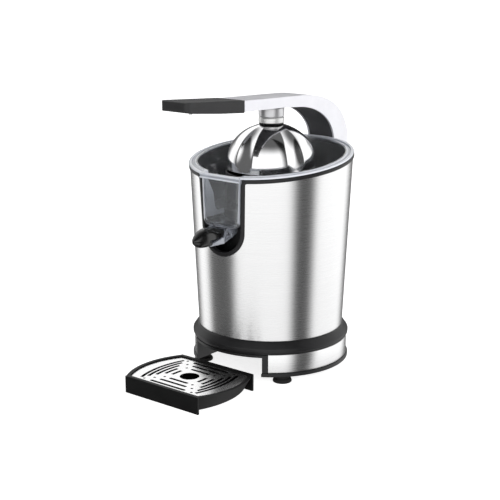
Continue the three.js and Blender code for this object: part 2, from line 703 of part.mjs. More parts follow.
// ---------------------------------------------------------------- press arm
// Heights of the arm's top and underside at its front, at its crown over the dome and at its back.
const ARM = {
  front: -77.5, frontTop: 345.9, frontLow: 332.7, neckY: -0.6, neckLow: 330,
  crownY: 34.2, crownTop: 341.8, crownLow: 327.4, backTop: 267.9, legFront: 106.1, legTop: 276.6,
};

function armOutline() {
  const boss = REACH_BACK - HINGE.y;
  const shape = new THREE.Shape();
  shape.moveTo(ARM.front, ARM.frontLow);
  shape.lineTo(ARM.front, ARM.frontTop);
  shape.lineTo(ARM.crownY, ARM.crownTop);
  shape.bezierCurveTo(98, 340, REACH_BACK + 0.5, 316, REACH_BACK, ARM.backTop);
  shape.lineTo(REACH_BACK, HINGE.z);
  shape.absarc(HINGE.y, HINGE.z, boss, 0, -Math.PI, true);
  shape.lineTo(ARM.legFront, ARM.legTop);
  shape.bezierCurveTo(104, 306, 70, 324, ARM.crownY, ARM.crownLow);
  shape.lineTo(ARM.neckY, ARM.neckLow);
  return shape;
}

// The channel inside the arm, open along its underside and below the hinge.
function armChannel() {
  const FLOOR = 205;
  const wall = ARM_SHEET;
  const back = REACH_BACK - wall;
  const shape = new THREE.Shape();
  shape.moveTo(ARM.front - 5, 320);
  shape.lineTo(ARM.front - 5, ARM.frontTop - wall + 0.2);
  shape.lineTo(ARM.front, ARM.frontTop - wall);
  shape.lineTo(ARM.crownY, ARM.crownTop - wall);
  shape.bezierCurveTo(95, 337.5, back, 315, back, ARM.backTop);
  shape.lineTo(back, HINGE.z);
  shape.lineTo(back - 2.4, HINGE.z - 12);
  shape.lineTo(REACH_BACK + 8, HINGE.z - 18);
  shape.lineTo(REACH_BACK + 8, FLOOR);
  shape.lineTo(60, FLOOR);
  return shape;
}

function makeArm() {
  const half = ARM_WIDTH / 2;
  const pinHole = crossRod(HINGE_PIN.hole, 60, HINGE.y, HINGE.z, 20);
  const arm = widened(armOutline(), half, 10).subtract(widened(armChannel(), half - ARM_SHEET, 10));
  place('press_arm', arm.subtract(pinHole), 'silverPaint');
}

// The inlay that closes the channel's open side, from the grip to the top of the hinge leg.
function makeArmLiner() {
  const LIFT = 0.4;
  const THICK = 2.8;
  const half = ARM_WIDTH / 2 - ARM_SHEET - GAP;
  const top = LIFT + THICK;
  const shape = new THREE.Shape();
  shape.moveTo(ARM.front + 0.5, ARM.frontLow + LIFT);
  shape.lineTo(ARM.front + 0.5, ARM.frontLow + top);
  shape.lineTo(ARM.neckY, ARM.neckLow + top);
  shape.lineTo(ARM.crownY, ARM.crownLow + top);
  shape.bezierCurveTo(71, 327, 107, 308, ARM.legFront + top, ARM.legTop);
  shape.lineTo(ARM.legFront + LIFT, ARM.legTop);
  shape.bezierCurveTo(104.4, 306.3, 70.2, 324.4, ARM.crownY, ARM.crownLow + LIFT);
  shape.lineTo(ARM.neckY, ARM.neckLow + LIFT);
  const hole = rod(BOLT.radius + BOLT.clearance, BOLT.low, BOLT.top + 5, 20);
  place('arm_liner', widened(shape, half, 10).subtract(hole), 'greyPlastic');
}

const GRIP = {
  back: -78, front: -179, bend: -172, corner: 7, backLow: 331.4, backTop: 346.4, bendTop: 352.9,
  bendLow: 340.2, crease: -120, creaseLow: 334.8,
};
const CORE = {
  half: 12, screws: [-105, -150], root: -50, knee: -80, end: -161.8, low: 337.2, high: 341.8,
  endLow: 341.8, endHigh: 347.6,
};

function gripPlan() {
  const half = ARM_WIDTH / 2;
  const { back, front, corner } = GRIP;
  const plan = new THREE.Shape();
  plan.moveTo(-half, back + 1);
  plan.lineTo(-half, front + corner);
  plan.absarc(-half + corner, front + corner, corner, Math.PI, 1.5 * Math.PI, false);
  plan.absarc(half - corner, front + corner, corner, 1.5 * Math.PI, 2 * Math.PI, false);
  plan.lineTo(half, back + 1);
  return plan;
}

function makeGrip() {
  const { back, front, bend, backLow, backTop, bendTop, bendLow, crease, creaseLow } = GRIP;
  const side = new THREE.Shape();
  side.moveTo(back, backLow);
  side.lineTo(back, backTop);
  side.lineTo(bend, bendTop);
  side.quadraticCurveTo(front, bendTop + 0.7, front, bendTop - 2.4);
  side.lineTo(front, bendLow + 4.3);
  side.quadraticCurveTo(front, bendLow + 0.7, bend, bendLow);
  side.lineTo(crease, creaseLow);
  const body = widened(side, ARM_WIDTH / 2, 6).intersect(raised(gripPlan(), 300, 380, 6));
  const pocket = widened(shapeOf([
    [back + 2, CORE.low - 0.8], [CORE.end - 0.6, CORE.endLow - 0.6],
    [CORE.end - 0.6, CORE.endHigh + 0.7], [back + 2, CORE.high + 0.6],
  ]), CORE.half + 0.4);
  let grip = body.subtract(pocket);
  for (const y of CORE.screws) {
    grip = grip.subtract(moved(rod(2.3, 320, 341, 12), 0, y));
  }
  place('handle_grip', grip, 'blackPlastic');
}

function makeGripCore() {
  const { half, root, knee, end, low, high, endLow, endHigh } = CORE;
  const core = widened(shapeOf([
    [root, low], [knee, low], [end, endLow], [end, endHigh], [knee, high], [root, high],
  ]), half);
  place('grip_core', core, 'brushedSteel');
  const slope = (endLow - low) / (end - knee);
  const underSlope = -0.0555;
  CORE.screws.forEach((y, i) => {
    const seat = GRIP.backLow + (y - GRIP.back) * underSlope;
    const screw = rod(2, seat, low + (y - knee) * slope - GAP, 12);
    place(`grip_screw_${i + 1}`, moved(screw, 0, y), 'brushedSteel');
  });
}

const HINGE_PIN = { radius: 3, hole: 3.3, half: 22.5 };
const KNUCKLE = { radius: 11, half: 14, padHalf: 24, padBack: 105.2 };

// The hinge bracket: a pad shaped to the body's back, and a knuckle between the arm's two sides.
function makeHinge() {
  const { radius, half, padHalf, padBack } = KNUCKLE;
  const bodyBack = turned([
    [0, 200], [bodyRadius(200) + GAP, 200], [bodyRadius(270) + GAP, 270], [0, 270],
  ], 40);
  const pad = block(-padHalf, padHalf, 88, padBack, HINGE.z - 26, HINGE.z + 22).subtract(bodyBack);
  const web = block(-half, half, padBack - 1.2, HINGE.y, HINGE.z - radius, HINGE.z + radius);
  const knuckle = crossRod(radius, half, HINGE.y, HINGE.z, 28);
  const hole = crossRod(HINGE_PIN.hole, 60, HINGE.y, HINGE.z, 20);
  place('hinge_bracket', joined([pad, web, knuckle]).subtract(hole), 'blackPlastic');
  place('hinge_pin', crossRod(HINGE_PIN.radius, HINGE_PIN.half, HINGE.y, HINGE.z, 20), 'brushedSteel');
}

const BOLT = {
  radius: 4, clearance: 0.4, low: 301, top: 340, head: 7.5, headTop: 305, nutLow: 333.7, nutTop: 338.7,
};
const NECK = { radius: 16, gasketLow: 308.3, sleeveLow: 310.4, collarLow: 317.4, collarTop: 328.9 };

// The turned parts between the arm and the dome, which the dome's bolt clamps together.
function makeNeck() {
  const { radius, gasketLow, sleeveLow, collarLow, collarTop } = NECK;
  const bore = BOLT.radius + BOLT.clearance;
  const collar = turned([
    [bore, collarLow], [radius - 1, collarLow], [radius, collarLow + 1], [radius, collarTop],
    [bore, collarTop],
  ], 20);
  place('neck_collar', collar, 'chrome');
  const sleeve = turned([
    [bore, sleeveLow], [radius, sleeveLow], [radius, collarLow - 1.2], [radius - 1, collarLow - GAP],
    [bore, collarLow - GAP],
  ], 20);
  place('neck_sleeve', sleeve, 'silverPaint');
  place('neck_gasket', ring(bore, radius - 0.6, gasketLow, sleeveLow - GAP, 20), 'rubber');
}

const DOME = {
  rim: 252, rimRadius: 54.2, wall: 2, top: 308,
  inside: [[14.4, 305.4], [29.8, 299.8], [44.2, 288.4], [51, 276], [54.6, 262.5]],
  outside: [[56.8, 263], [53, 277], [46, 290], [31, 302], [15, 307.6]],
};

function makeDome() {
  const bore = BOLT.radius + BOLT.clearance;
  const { rim, rimRadius, wall, top, inside, outside } = DOME;
  const dome = turned([
    [bore, top - 2.4], ...inside, [rimRadius, rim], [rimRadius + wall, rim], ...outside, [bore, top],
  ], 30);
  place('press_dome', dome, 'chrome');
}

function makeDomeBolt() {
  const { radius, low, top, head, headTop, nutLow, nutTop } = BOLT;
  place('dome_bolt', rod(radius, low, top, 20).add(rod(head, low, headTop, 20)), 'brushedSteel');
  const nut = rod(head, nutLow, nutTop, 6).subtract(rod(radius + GAP, nutLow - 1, nutTop + 1, 20));
  place('dome_nut', nut, 'brushedSteel');
}

// ---------------------------------------------------------------- drip tray
const TRAY = { halfDepth: 51, cornerHalf: 58.3, bulge: 72, plate: 2.5, floor: 3 };
const GRILLE = { low: 18.5, high: 19.5, halfDepth: 45.5, cornerHalf: 53.8, bulge: 67, slot: 3.4, dot: 1.2 };

// A plan outline with straight front and back edges and bowed ends.
function trayShape(halfDepth, cornerHalf, bulge) {
  const rise = bulge - cornerHalf;
  const radius = (halfDepth ** 2 + rise ** 2) / (2 * rise);
  const swing = Math.asin(halfDepth / radius);
  const centre = bulge - radius;
  const shape = new THREE.Shape();
  shape.absarc(centre, 0, radius, -swing, swing, false);
  shape.absarc(-centre, 0, radius, Math.PI - swing, Math.PI + swing, false);
  return shape;
}

// A raised outline whose lower face is drawn in by the given shares of its width and depth.
function drafted(shape, low, high, shareX, shareY) {
  const options = { depth: high - low, bevelEnabled: false, curveSegments: 10 };
  const geometry = new THREE.ExtrudeGeometry(shape, options);
  const position = geometry.getAttribute('position');
  for (let i = 0; i < position.count; i += 1) {
    if (position.getZ(i) < (high - low) / 2) {
      position.setX(i, position.getX(i) * shareX);
      position.setY(i, position.getY(i) * shareY);
    }
  }
  return solid(geometry.translate(0, 0, low));
}

function makeTray() {
  const { halfDepth, cornerHalf, bulge, plate, floor } = TRAY;
  const inner = halfDepth - plate;
  const bowl = drafted(trayShape(inner + 0.2, cornerHalf, bulge), 1, TRAY_HEIGHT, 0.81, 0.95);
  const legs = [-1, 1].map((side) => {
    const near = side * inner;
    const far = side * halfDepth;
    return block(-cornerHalf, cornerHalf, Math.min(near, far), Math.max(near, far), 0, TRAY_HEIGHT);
  });
  const cavityShape = trayShape(GRILLE.halfDepth - 2, GRILLE.cornerHalf - 2, GRILLE.bulge - 2.2);
  const cavity = drafted(cavityShape, floor, TRAY_HEIGHT + 1, 0.81, 0.96);
  const seatShape = trayShape(GRILLE.halfDepth + 0.5, GRILLE.cornerHalf + 0.5, GRILLE.bulge + 0.5);
  const seat = raised(seatShape, GRILLE.low - GAP, TRAY_HEIGHT + 1, 10);
  const tray = joined([bowl, ...legs]).subtract(cavity).subtract(seat);
  place('drip_tray', moved(tray, 0, TRAY_CENTRE_Y), 'blackPlastic');
}

function straightSlot(y, halfLength) {
  const half = GRILLE.slot / 2;
  return block(-halfLength, halfLength, y - half, y + half, GRILLE.low - 1, GRILLE.high + 1);
}

// A slot that bows outwards like the grille's own ends.
function bowedSlot(x, halfLength, side) {
  const half = GRILLE.slot / 2;
  const radius = 112;
  const swing = Math.asin(halfLength / radius);
  const facing = side > 0 ? 0 : Math.PI;
  const centre = side * (x - radius);
  const shape = new THREE.Shape();
  shape.absarc(centre, 0, radius + half, facing - swing, facing + swing, false);
  shape.absarc(centre, 0, radius - half, facing + swing, facing - swing, true);
  return raised(shape, GRILLE.low - 1, GRILLE.high + 1, 2);
}

function makeGrille() {
  const CENTRE_HOLE = 11.9;
  const ROWS = [[19.5, 12.9], [29.1, 19.2], [38.8, 26.1]];
  const COLUMNS = [[21, 8.3], [30, 11], [37.2, 20.5], [43.8, 30.2], [50, 38]];
  const DOTS = [[22.3, 19.7], [30, 29.3], [38, 39]];
  const plate = raised(trayShape(GRILLE.halfDepth, GRILLE.cornerHalf, GRILLE.bulge),
    GRILLE.low, GRILLE.high, 8);
  const cuts = [rod(CENTRE_HOLE, GRILLE.low - 1, GRILLE.high + 1, 20)];
  for (const side of [-1, 1]) {
    ROWS.forEach(([y, half]) => cuts.push(straightSlot(side * y, half)));
    COLUMNS.forEach(([x, half]) => cuts.push(bowedSlot(x, half, side)));
    for (const [x, y] of DOTS) {
      cuts.push(moved(rod(GRILLE.dot, GRILLE.low - 1, GRILLE.high + 1, 8), side * x, y));
      cuts.push(moved(rod(GRILLE.dot, GRILLE.low - 1, GRILLE.high + 1, 8), side * x, -y));
    }
  }
  place('tray_grille', moved(plate.subtract(joined(cuts)), 0, TRAY_CENTRE_Y), 'brushedSteel');
}

// ---------------------------------------------------------------- assembly
makeBottomCover();
makePlinth();
makeBand();
makeFeet();
makeCordGland();
makeTieRods();
makeBodyShell();
makeRimTrim();
makeInnerHousing();
makeTerminalBlock();
makeMotor();
makeRotor();
makeFan();
makeMotorPinion();
makeIdler();
makeOutputGear();
makeGearbox();
makeBushAndSeal();
makeDriveShaft();
makeReturnSpring();
makeSwitch();
makeCollector();
makeSpout();
makeStrainer();
makeReamer();
makeHinge();
makeArm();
makeArmLiner();
makeGripCore();
makeGrip();
makeNeck();
makeDome();
makeDomeBolt();
makeTray();
makeGrille();

// The outer group puts the origin under the middle of the whole object's footprint.
model.position.y = -(REACH_FRONT + REACH_BACK) / 2;
const group = new THREE.Group();
group.add(model);

export default group;
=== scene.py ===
import json
import math

import bmesh
import bpy
from mathutils import Matrix, Vector
from mathutils.geometry import delaunay_2d_cdt


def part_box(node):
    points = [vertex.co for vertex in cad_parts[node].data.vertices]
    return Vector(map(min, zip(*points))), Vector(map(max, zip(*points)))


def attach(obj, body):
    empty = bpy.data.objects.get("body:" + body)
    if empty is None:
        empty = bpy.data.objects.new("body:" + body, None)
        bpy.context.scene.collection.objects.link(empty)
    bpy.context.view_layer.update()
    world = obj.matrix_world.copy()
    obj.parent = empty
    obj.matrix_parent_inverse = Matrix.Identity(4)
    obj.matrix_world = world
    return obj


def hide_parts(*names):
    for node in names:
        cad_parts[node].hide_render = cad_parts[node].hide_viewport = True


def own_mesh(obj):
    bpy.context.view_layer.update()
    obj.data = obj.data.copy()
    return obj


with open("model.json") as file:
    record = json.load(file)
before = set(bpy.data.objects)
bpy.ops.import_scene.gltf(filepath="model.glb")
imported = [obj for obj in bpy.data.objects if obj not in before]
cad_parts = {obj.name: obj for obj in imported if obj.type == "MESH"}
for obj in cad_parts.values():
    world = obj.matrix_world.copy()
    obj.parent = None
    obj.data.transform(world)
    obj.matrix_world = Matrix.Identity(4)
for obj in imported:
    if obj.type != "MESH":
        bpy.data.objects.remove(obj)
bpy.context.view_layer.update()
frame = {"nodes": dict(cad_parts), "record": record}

# Looks for the citrus press juicer. Shapes are built in millimetres about the reamer's axis, with the
# front towards -Y, and are then moved into the frame's metres.
MM = 0.001
DOME_LOW, DOME_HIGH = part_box("press_dome")
AXIS_Y = (DOME_LOW.y + DOME_HIGH.y) / 2
TO_FRAME = Matrix.Translation((0, AXIS_Y, 0)) @ Matrix.Scale(MM, 4)


def span(node):
    """The lowest and highest corner of a CAD node, in millimetres about the axis."""
    low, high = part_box(node)
    return tuple(Vector((v.x / MM, (v.y - AXIS_Y) / MM, v.z / MM)) for v in (low, high))


# ---- sizes
PLINTH_LOW, PLINTH_HIGH = span("plinth")
SHELL_LOW = span("body_shell")[0]
TRAY_LOW, TRAY_HIGH = span("drip_tray")
GRILLE_LOW, GRILLE_HIGH = span("tray_grille")
GRIP_LOW, GRIP_HIGH = span("handle_grip")
ARM_LOW, ARM_HIGH = span("press_arm")
HINGE_LOW, HINGE_HIGH = span("hinge_pin")
BASE_RADIUS = PLINTH_HIGH.x
FOOT_TOP = PLINTH_LOW.z
COLLAR_TOP = PLINTH_HIGH.z
BODY_FOOT_RADIUS = 92.2
BODY_TOP_RADIUS = 102.0
BODY_TOP = 258.0
RIM_HEIGHT = 262.6
RIM_SLOPE = math.tan(math.radians(6.75))
CUT_TOP = 290.0
GAP = 0.3
SHEET = 1.2
NOTCH_Z = 190.0
NOTCH_RADIUS = 33.0
NOTCH_BAND = 5.0
NOTCH_FLARE = 3.2 / (RIM_HEIGHT - NOTCH_Z)
TRIM_LAP = -1.0
TRIM_LIFT = 1.7
TRIM_HALF = 2.35
RECESS_HALF = 52.5
RECESS_TOP = 34.0
RECESS_BACK = 50.0
FRAME_WIDTH = 5.5
TRAY_Y = (TRAY_LOW.y + TRAY_HIGH.y) / 2
ARM_HALF = ARM_HIGH.x
PIVOT_Y = (HINGE_LOW.y + HINGE_HIGH.y) / 2
PIVOT_Z = (HINGE_LOW.z + HINGE_HIGH.z) / 2
CUP_RADIUS = 86.0
CUP_WALL = 2.6
CUP_FLOOR = 205.0
MOUTH_RADIUS = 95.0
WINDOW_HALF = 27.8
WINDOW_FRONT = -100.0
WINDOW_FLOOR = 194.0
FLANGE_RADIUS = 103.4
FLANGE_LIFT = 4.4
FLANGE_TOP = 6.8
PIN_Y = -101.5
PIN_Z = 187.5
LIP_HALF = NOTCH_RADIUS - NOTCH_BAND + 3.2
LIP_TOP = RIM_HEIGHT + FLANGE_TOP + RIM_SLOPE * (WINDOW_FRONT - 1.3) - 0.1
LIP_LOW = LIP_TOP - 6.2
BOLT_BORE = 4.4
SPOUT_BORE = 1.8
GLAND_BORE = 5.3
HINGE_BORE = 3.3
EDGE_ANGLE = 32
CLOUD_LOW = 0.3
CLOUD_HIGH = 0.7


def body_radius(z):
    """The cone's outer radius at a height."""
    share = (z - COLLAR_TOP) / (BODY_TOP - COLLAR_TOP)
    return BODY_FOOT_RADIUS + (BODY_TOP_RADIUS - BODY_FOOT_RADIUS) * share


# ---- mesh helpers
def rounded(corners, steps):
    """A closed outline from corners (u, v, radius), each turned into an arc of its radius."""
    points = []
    for i, (u, v, radius) in enumerate(corners):
        here = Vector((u, v))
        if not radius:
            points.append(here)
            continue
        before = (Vector(corners[i - 1][:2]) - here).normalized()
        after = (Vector(corners[(i + 1) % len(corners)][:2]) - here).normalized()
        half = before.angle(after) / 2
        centre = here + (before + after).normalized() * radius / math.sin(half)
        first = here + before * radius / math.tan(half) - centre
        last = here + after * radius / math.tan(half) - centre
        for k in range(steps + 1):
            points.append(centre + first.lerp(last, k / steps).normalized() * radius)
    return points


def arc(cx, cy, radius, start, end, steps):
    """Points on an arc, with its angles in degrees."""
    angles = [math.radians(start + (end - start) * k / steps) for k in range(steps + 1)]
    return [Vector((cx + radius * math.cos(a), cy + radius * math.sin(a))) for a in angles]


def bezier(p0, p1, p2, p3, steps):
    """Points on a curve from p0 to p3, pulled towards p1 and p2."""
    points = []
    for k in range(steps + 1):
        t = k / steps
        s = 1 - t
        weights = (s**3, 3 * s * s * t, 3 * s * t * t, t**3)
        total = Vector((0, 0))
        for weight, p in zip(weights, (p0, p1, p2, p3)):
            total += weight * Vector(p)
        points.append(total)
    return points


def bridge(bm, rings, closed):
    """Quads between neighbouring rings of vertices; a ring of one vertex is a pole."""
    pairs = list(zip(rings, rings[1:]))
    if closed:
        pairs.append((rings[-1], rings[0]))
    for a, b in pairs:
        count = max(len(a), len(b))
        for i in range(count):
            j = (i + 1) % count
            corners = [a[i % len(a)], a[j % len(a)], b[j % len(b)], b[i % len(b)]]
            unique = [v for k, v in enumerate(corners) if v not in corners[:k]]
            if len(unique) > 2:
                bm.faces.new(unique)


def loft(rings, closed=False):
    """A solid through rings of points, capped at its ends or closed on itself. A point is a pole."""
    bm = bmesh.new()
    verts = [[bm.verts.new(p) for p in ring] for ring in rings]
    bridge(bm, verts, closed)
    for end in (verts[0], verts[-1]):
        if not closed and len(end) > 1:
            bm.faces.new(end)
    bmesh.ops.recalc_face_normals(bm, faces=bm.faces)
    return bm


def lathe(outline, segments, slope=0.0, shape=None):
    """A turned solid from (radius, height) points. shape(angle, radius, height) may change a radius."""
    rings = []
    for r, z in outline:
        count = segments if r > 1e-6 else 1
        ring = []
        for i in range(count):
            angle = 2 * math.pi * i / segments
            radius = shape(angle, r, z) if shape else r
            y = radius * math.sin(angle)
            ring.append((radius * math.cos(angle), y, z + slope * y))
        rings.append(ring)
    on_axis = len(rings[0]) == 1 and len(rings[-1]) == 1
    return loft(rings, closed=not on_axis)


def moved(bm, x, y):
    bmesh.ops.translate(bm, verts=bm.verts, vec=(x, y, 0))
    return bm


def disc(radius, low, high, segments=48, x=0.0, y=0.0):
    return moved(lathe([(0, low), (radius, low), (radius, high), (0, high)], segments), x, y)


AXES = {
    "up": lambda u, v, w: (u, v, w),
    "across": lambda u, v, w: (w, u, v),
    "forward": lambda u, v, w: (u, w, v),
}


def prism(outline, low, high, axis="up"):
    """An outline run from low to high along one axis: up (x, y), across (y, z) or forward (x, z)."""
    place = AXES[axis]
    return loft([[place(u, v, w) for u, v in outline] for w in (low, high)])


def box(x0, x1, y0, y1, z0, z1):
    return prism([(x0, y0), (x1, y0), (x1, y1), (x0, y1)], z0, z1)


def cross_rod(radius, half, y, z, segments=48):
    """A rod across the object, as long to the left as to the right."""
    circle = arc(y, z, radius, 0, 360 * (segments - 1) / segments, segments - 1)
    return prism(circle, -half, half, "across")


def above_rim(lift):
    """All the space above the rim's tilted plane, raised by the lift."""
    reach = 130
    low = RIM_HEIGHT + lift
    bm = box(-reach, reach, -reach, reach, low, low + 90)
    for v in bm.verts:
        v.co.z += RIM_SLOPE * v.co.y
    return bm


def mesh_from(bm, name="scratch"):
    mesh = bpy.data.meshes.new(name)
    bm.to_mesh(mesh)
    bm.free()
    return mesh


def new_object(name, data):
    obj = bpy.data.objects.new(name, data)
    bpy.context.scene.collection.objects.link(obj)
    return obj


def merged_parts(parts):
    """Several separate closed bodies as one mesh."""
    whole = bmesh.new()
    for part in parts:
        mesh = mesh_from(part)
        whole.from_mesh(mesh)
        bpy.data.meshes.remove(mesh)
    return whole


def around(make, count, first):
    """Copies of a part spread evenly about the axis, the first one turned by some degrees."""
    copies = []
    for i in range(count):
        part = make()
        turn = Matrix.Rotation(math.radians(first + 360 * i / count), 3, "Z")
        bmesh.ops.rotate(part, verts=part.verts, matrix=turn)
        copies.append(part)
    return merged_parts(copies)


def combined(base, other, operation):
    """base joined with, cut by or kept inside other, as one new mesh."""
    first = new_object("scratch", mesh_from(base))
    second = new_object("scratch", mesh_from(other))
    modifier = first.modifiers.new("combine", "BOOLEAN")
    modifier.operation = operation
    modifier.solver = "MANIFOLD"
    modifier.object = second
    bpy.context.view_layer.update()
    evaluated = first.evaluated_get(bpy.context.evaluated_depsgraph_get())
    result = bmesh.new()
    result.from_mesh(evaluated.to_mesh())
    evaluated.to_mesh_clear()
    for obj in (first, second):
        mesh = obj.data
        bpy.data.objects.remove(obj)
        bpy.data.meshes.remove(mesh)
    bmesh.ops.remove_doubles(result, verts=result.verts, dist=1e-3)
    return result


def cut(base, *tools):
    for tool in tools:
        base = combined(base, tool, "DIFFERENCE")
    return base


def joined(base, *others):
    for other in others:
        base = combined(base, other, "UNION")
    return base


def shade(mesh, sharp_degrees):
    """Smooth shading, broken at edges that turn by more than the given angle."""
    bm = bmesh.new()
    bm.from_mesh(mesh)
    limit = math.radians(sharp_degrees)
    for face in bm.faces:
        face.smooth = True
    for edge in bm.edges:
        edge.smooth = len(edge.link_faces) == 2 and edge.calc_face_angle(0) < limit
    bm.to_mesh(mesh)
    bm.free()


def piece(name, bm, body, slot, replaces, sharp=EDGE_ANGLE, bevel=0.0, segments=2, look=None):
    """A finished piece: in the frame's metres, shaded, given its material and put on its body.

    Its material is the slot's own, or the one that look names."""
    bmesh.ops.transform(bm, matrix=TO_FRAME, verts=bm.verts)
    mesh = mesh_from(bm, name)
    shade(mesh, sharp)
    obj = new_object(name, mesh)
    if bevel:
        add_bevel(obj, bevel, segments)
    mesh.materials.append(MATERIALS[look or slot])
    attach(obj, body)
    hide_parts(*replaces)
    return obj


def add_bevel(obj, width, segments):
    modifier = obj.modifiers.new("edges", "BEVEL")
    modifier.width = width * MM
    modifier.segments = segments
    modifier.limit_method = "ANGLE"
    modifier.angle_limit = math.radians(EDGE_ANGLE)
    modifier.harden_normals = True
    modifier.use_clamp_overlap = True


# ---- materials
def shader_of(material):
    return material.node_tree.nodes["Principled BSDF"]


def add_node(tree, kind, inputs):
    """A new node, with each input set to a value or joined to another node's output."""
    node = tree.nodes.new("ShaderNode" + kind)
    for socket, value in inputs.items():
        if isinstance(value, bpy.types.NodeSocket):
            tree.links.new(value, node.inputs[socket])
        else:
            node.inputs[socket].default_value = value
    return node


def noise(material, scale, detail, roughness=0.55):
    """A noise texture in the frame's own coordinates, stretched by its three scales."""
    tree = material.node_tree
    place = add_node(tree, "TexCoord", {})
    mapping = add_node(tree, "Mapping", {"Vector": place.outputs["Object"], "Scale": scale})
    look = {"Scale": 1.0, "Detail": detail, "Roughness": roughness}
    return add_node(tree, "TexNoise", {"Vector": mapping.outputs["Vector"], **look}).outputs["Fac"]


def ranged(tree, value, start, end, low, high, interpolation="LINEAR"):
    """value, from start to end, turned into a number from low to high."""
    ends = {"From Min": start, "From Max": end, "To Min": low, "To Max": high}
    node = add_node(tree, "MapRange", {"Value": value, **ends})
    node.interpolation_type = interpolation
    return node.outputs["Result"]


def finish(name, dark, light, smooth, rough, scale, detail, fine=0.55, **sockets):
    """A material, and the noise by which its colour and its roughness change."""
    material = bpy.data.materials.new(name)
    material.use_nodes = True
    tree = material.node_tree
    shader = shader_of(material)
    shader.inputs["Base Color"].default_value = (*light, 1)
    shader.inputs["Roughness"].default_value = rough
    for socket, value in sockets.items():
        shader.inputs[socket.replace("_", " ")].default_value = value
    cloud = noise(material, scale, detail, fine)
    gloss = ranged(tree, cloud, CLOUD_LOW, CLOUD_HIGH, smooth, rough)
    tree.links.new(gloss, shader.inputs["Roughness"])
    ramp = add_node(tree, "ValToRGB", {"Fac": cloud})
    first, last = ramp.color_ramp.elements
    first.position = CLOUD_LOW
    first.color = (*dark, 1)
    last.position = CLOUD_HIGH
    last.color = (*light, 1)
    tree.links.new(ramp.outputs["Color"], shader.inputs["Base Color"])
    return material, cloud


def add_bump(material, value, strength, depth):
    tree = material.node_tree
    bump = add_node(tree, "Bump", {"Strength": strength, "Distance": depth * MM, "Height": value})
    tree.links.new(bump.outputs["Normal"], shader_of(material).inputs["Normal"])


def moulded(name, dark, light, smooth, rough, grain=1800.0, depth=0.02, strength=0.25, gloss=0.32):
    """Moulded plastic or rubber: a fine grain, with soft differences in colour and gloss."""
    material, _ = finish(name, dark, light, smooth, rough, (35, 35, 35), 5, Specular_IOR_Level=gloss)
    add_bump(material, noise(material, (grain, grain, grain), 2), strength, depth)
    return material


def brushed(name, scale, dark, light, smooth, rough, anisotropic, radial=True, relief=0.05):
    """Brushed steel, with its scratches along the direction that has the small scale."""
    material, streaks = finish(
        name, dark, light, smooth, rough, scale, 6, 0.7, Metallic=1.0, Anisotropic=anisotropic
    )
    add_bump(material, streaks, relief, 0.02)
    if radial:
        tree = material.node_tree
        tangent = add_node(tree, "Tangent", {})
        tangent.direction_type = "RADIAL"
        tangent.axis = "Z"
        tree.links.new(tangent.outputs["Tangent"], shader_of(material).inputs["Tangent"])
        shader_of(material).inputs["Anisotropic Rotation"].default_value = 0.25
    return material


def polished(name, dark, light, smooth, rough, metallic=1.0, relief=0.04):
    """Bare metal without a grain, from mirror bright to satin."""
    material, _ = finish(name, dark, light, smooth, rough, (60, 60, 25), 6, Metallic=metallic)
    add_bump(material, noise(material, (12, 12, 12), 2), relief, 0.3)
    return material


def clear_plastic(name, clearness, dark, light):
    """Clear plastic that lets through the given share of light; its less clear, paler and greyer copies are
    painted highlights and painted shade.
    """
    material, _ = finish(
        name, dark, light, 0.015, 0.06, (30, 30, 30), 3, Transmission_Weight=clearness, IOR=1.49
    )
    add_bump(material, noise(material, (25, 25, 25), 2), 0.03, 0.3)
    return material


def silver_paint(name, dark, light):
    """Satin silver with a very fine grain."""
    material, _ = finish(name, dark, light, 0.30, 0.37, (40, 40, 40), 4, Metallic=0.65)
    add_bump(material, noise(material, (2600, 2600, 2600), 2), 0.12, 0.01)
    return material


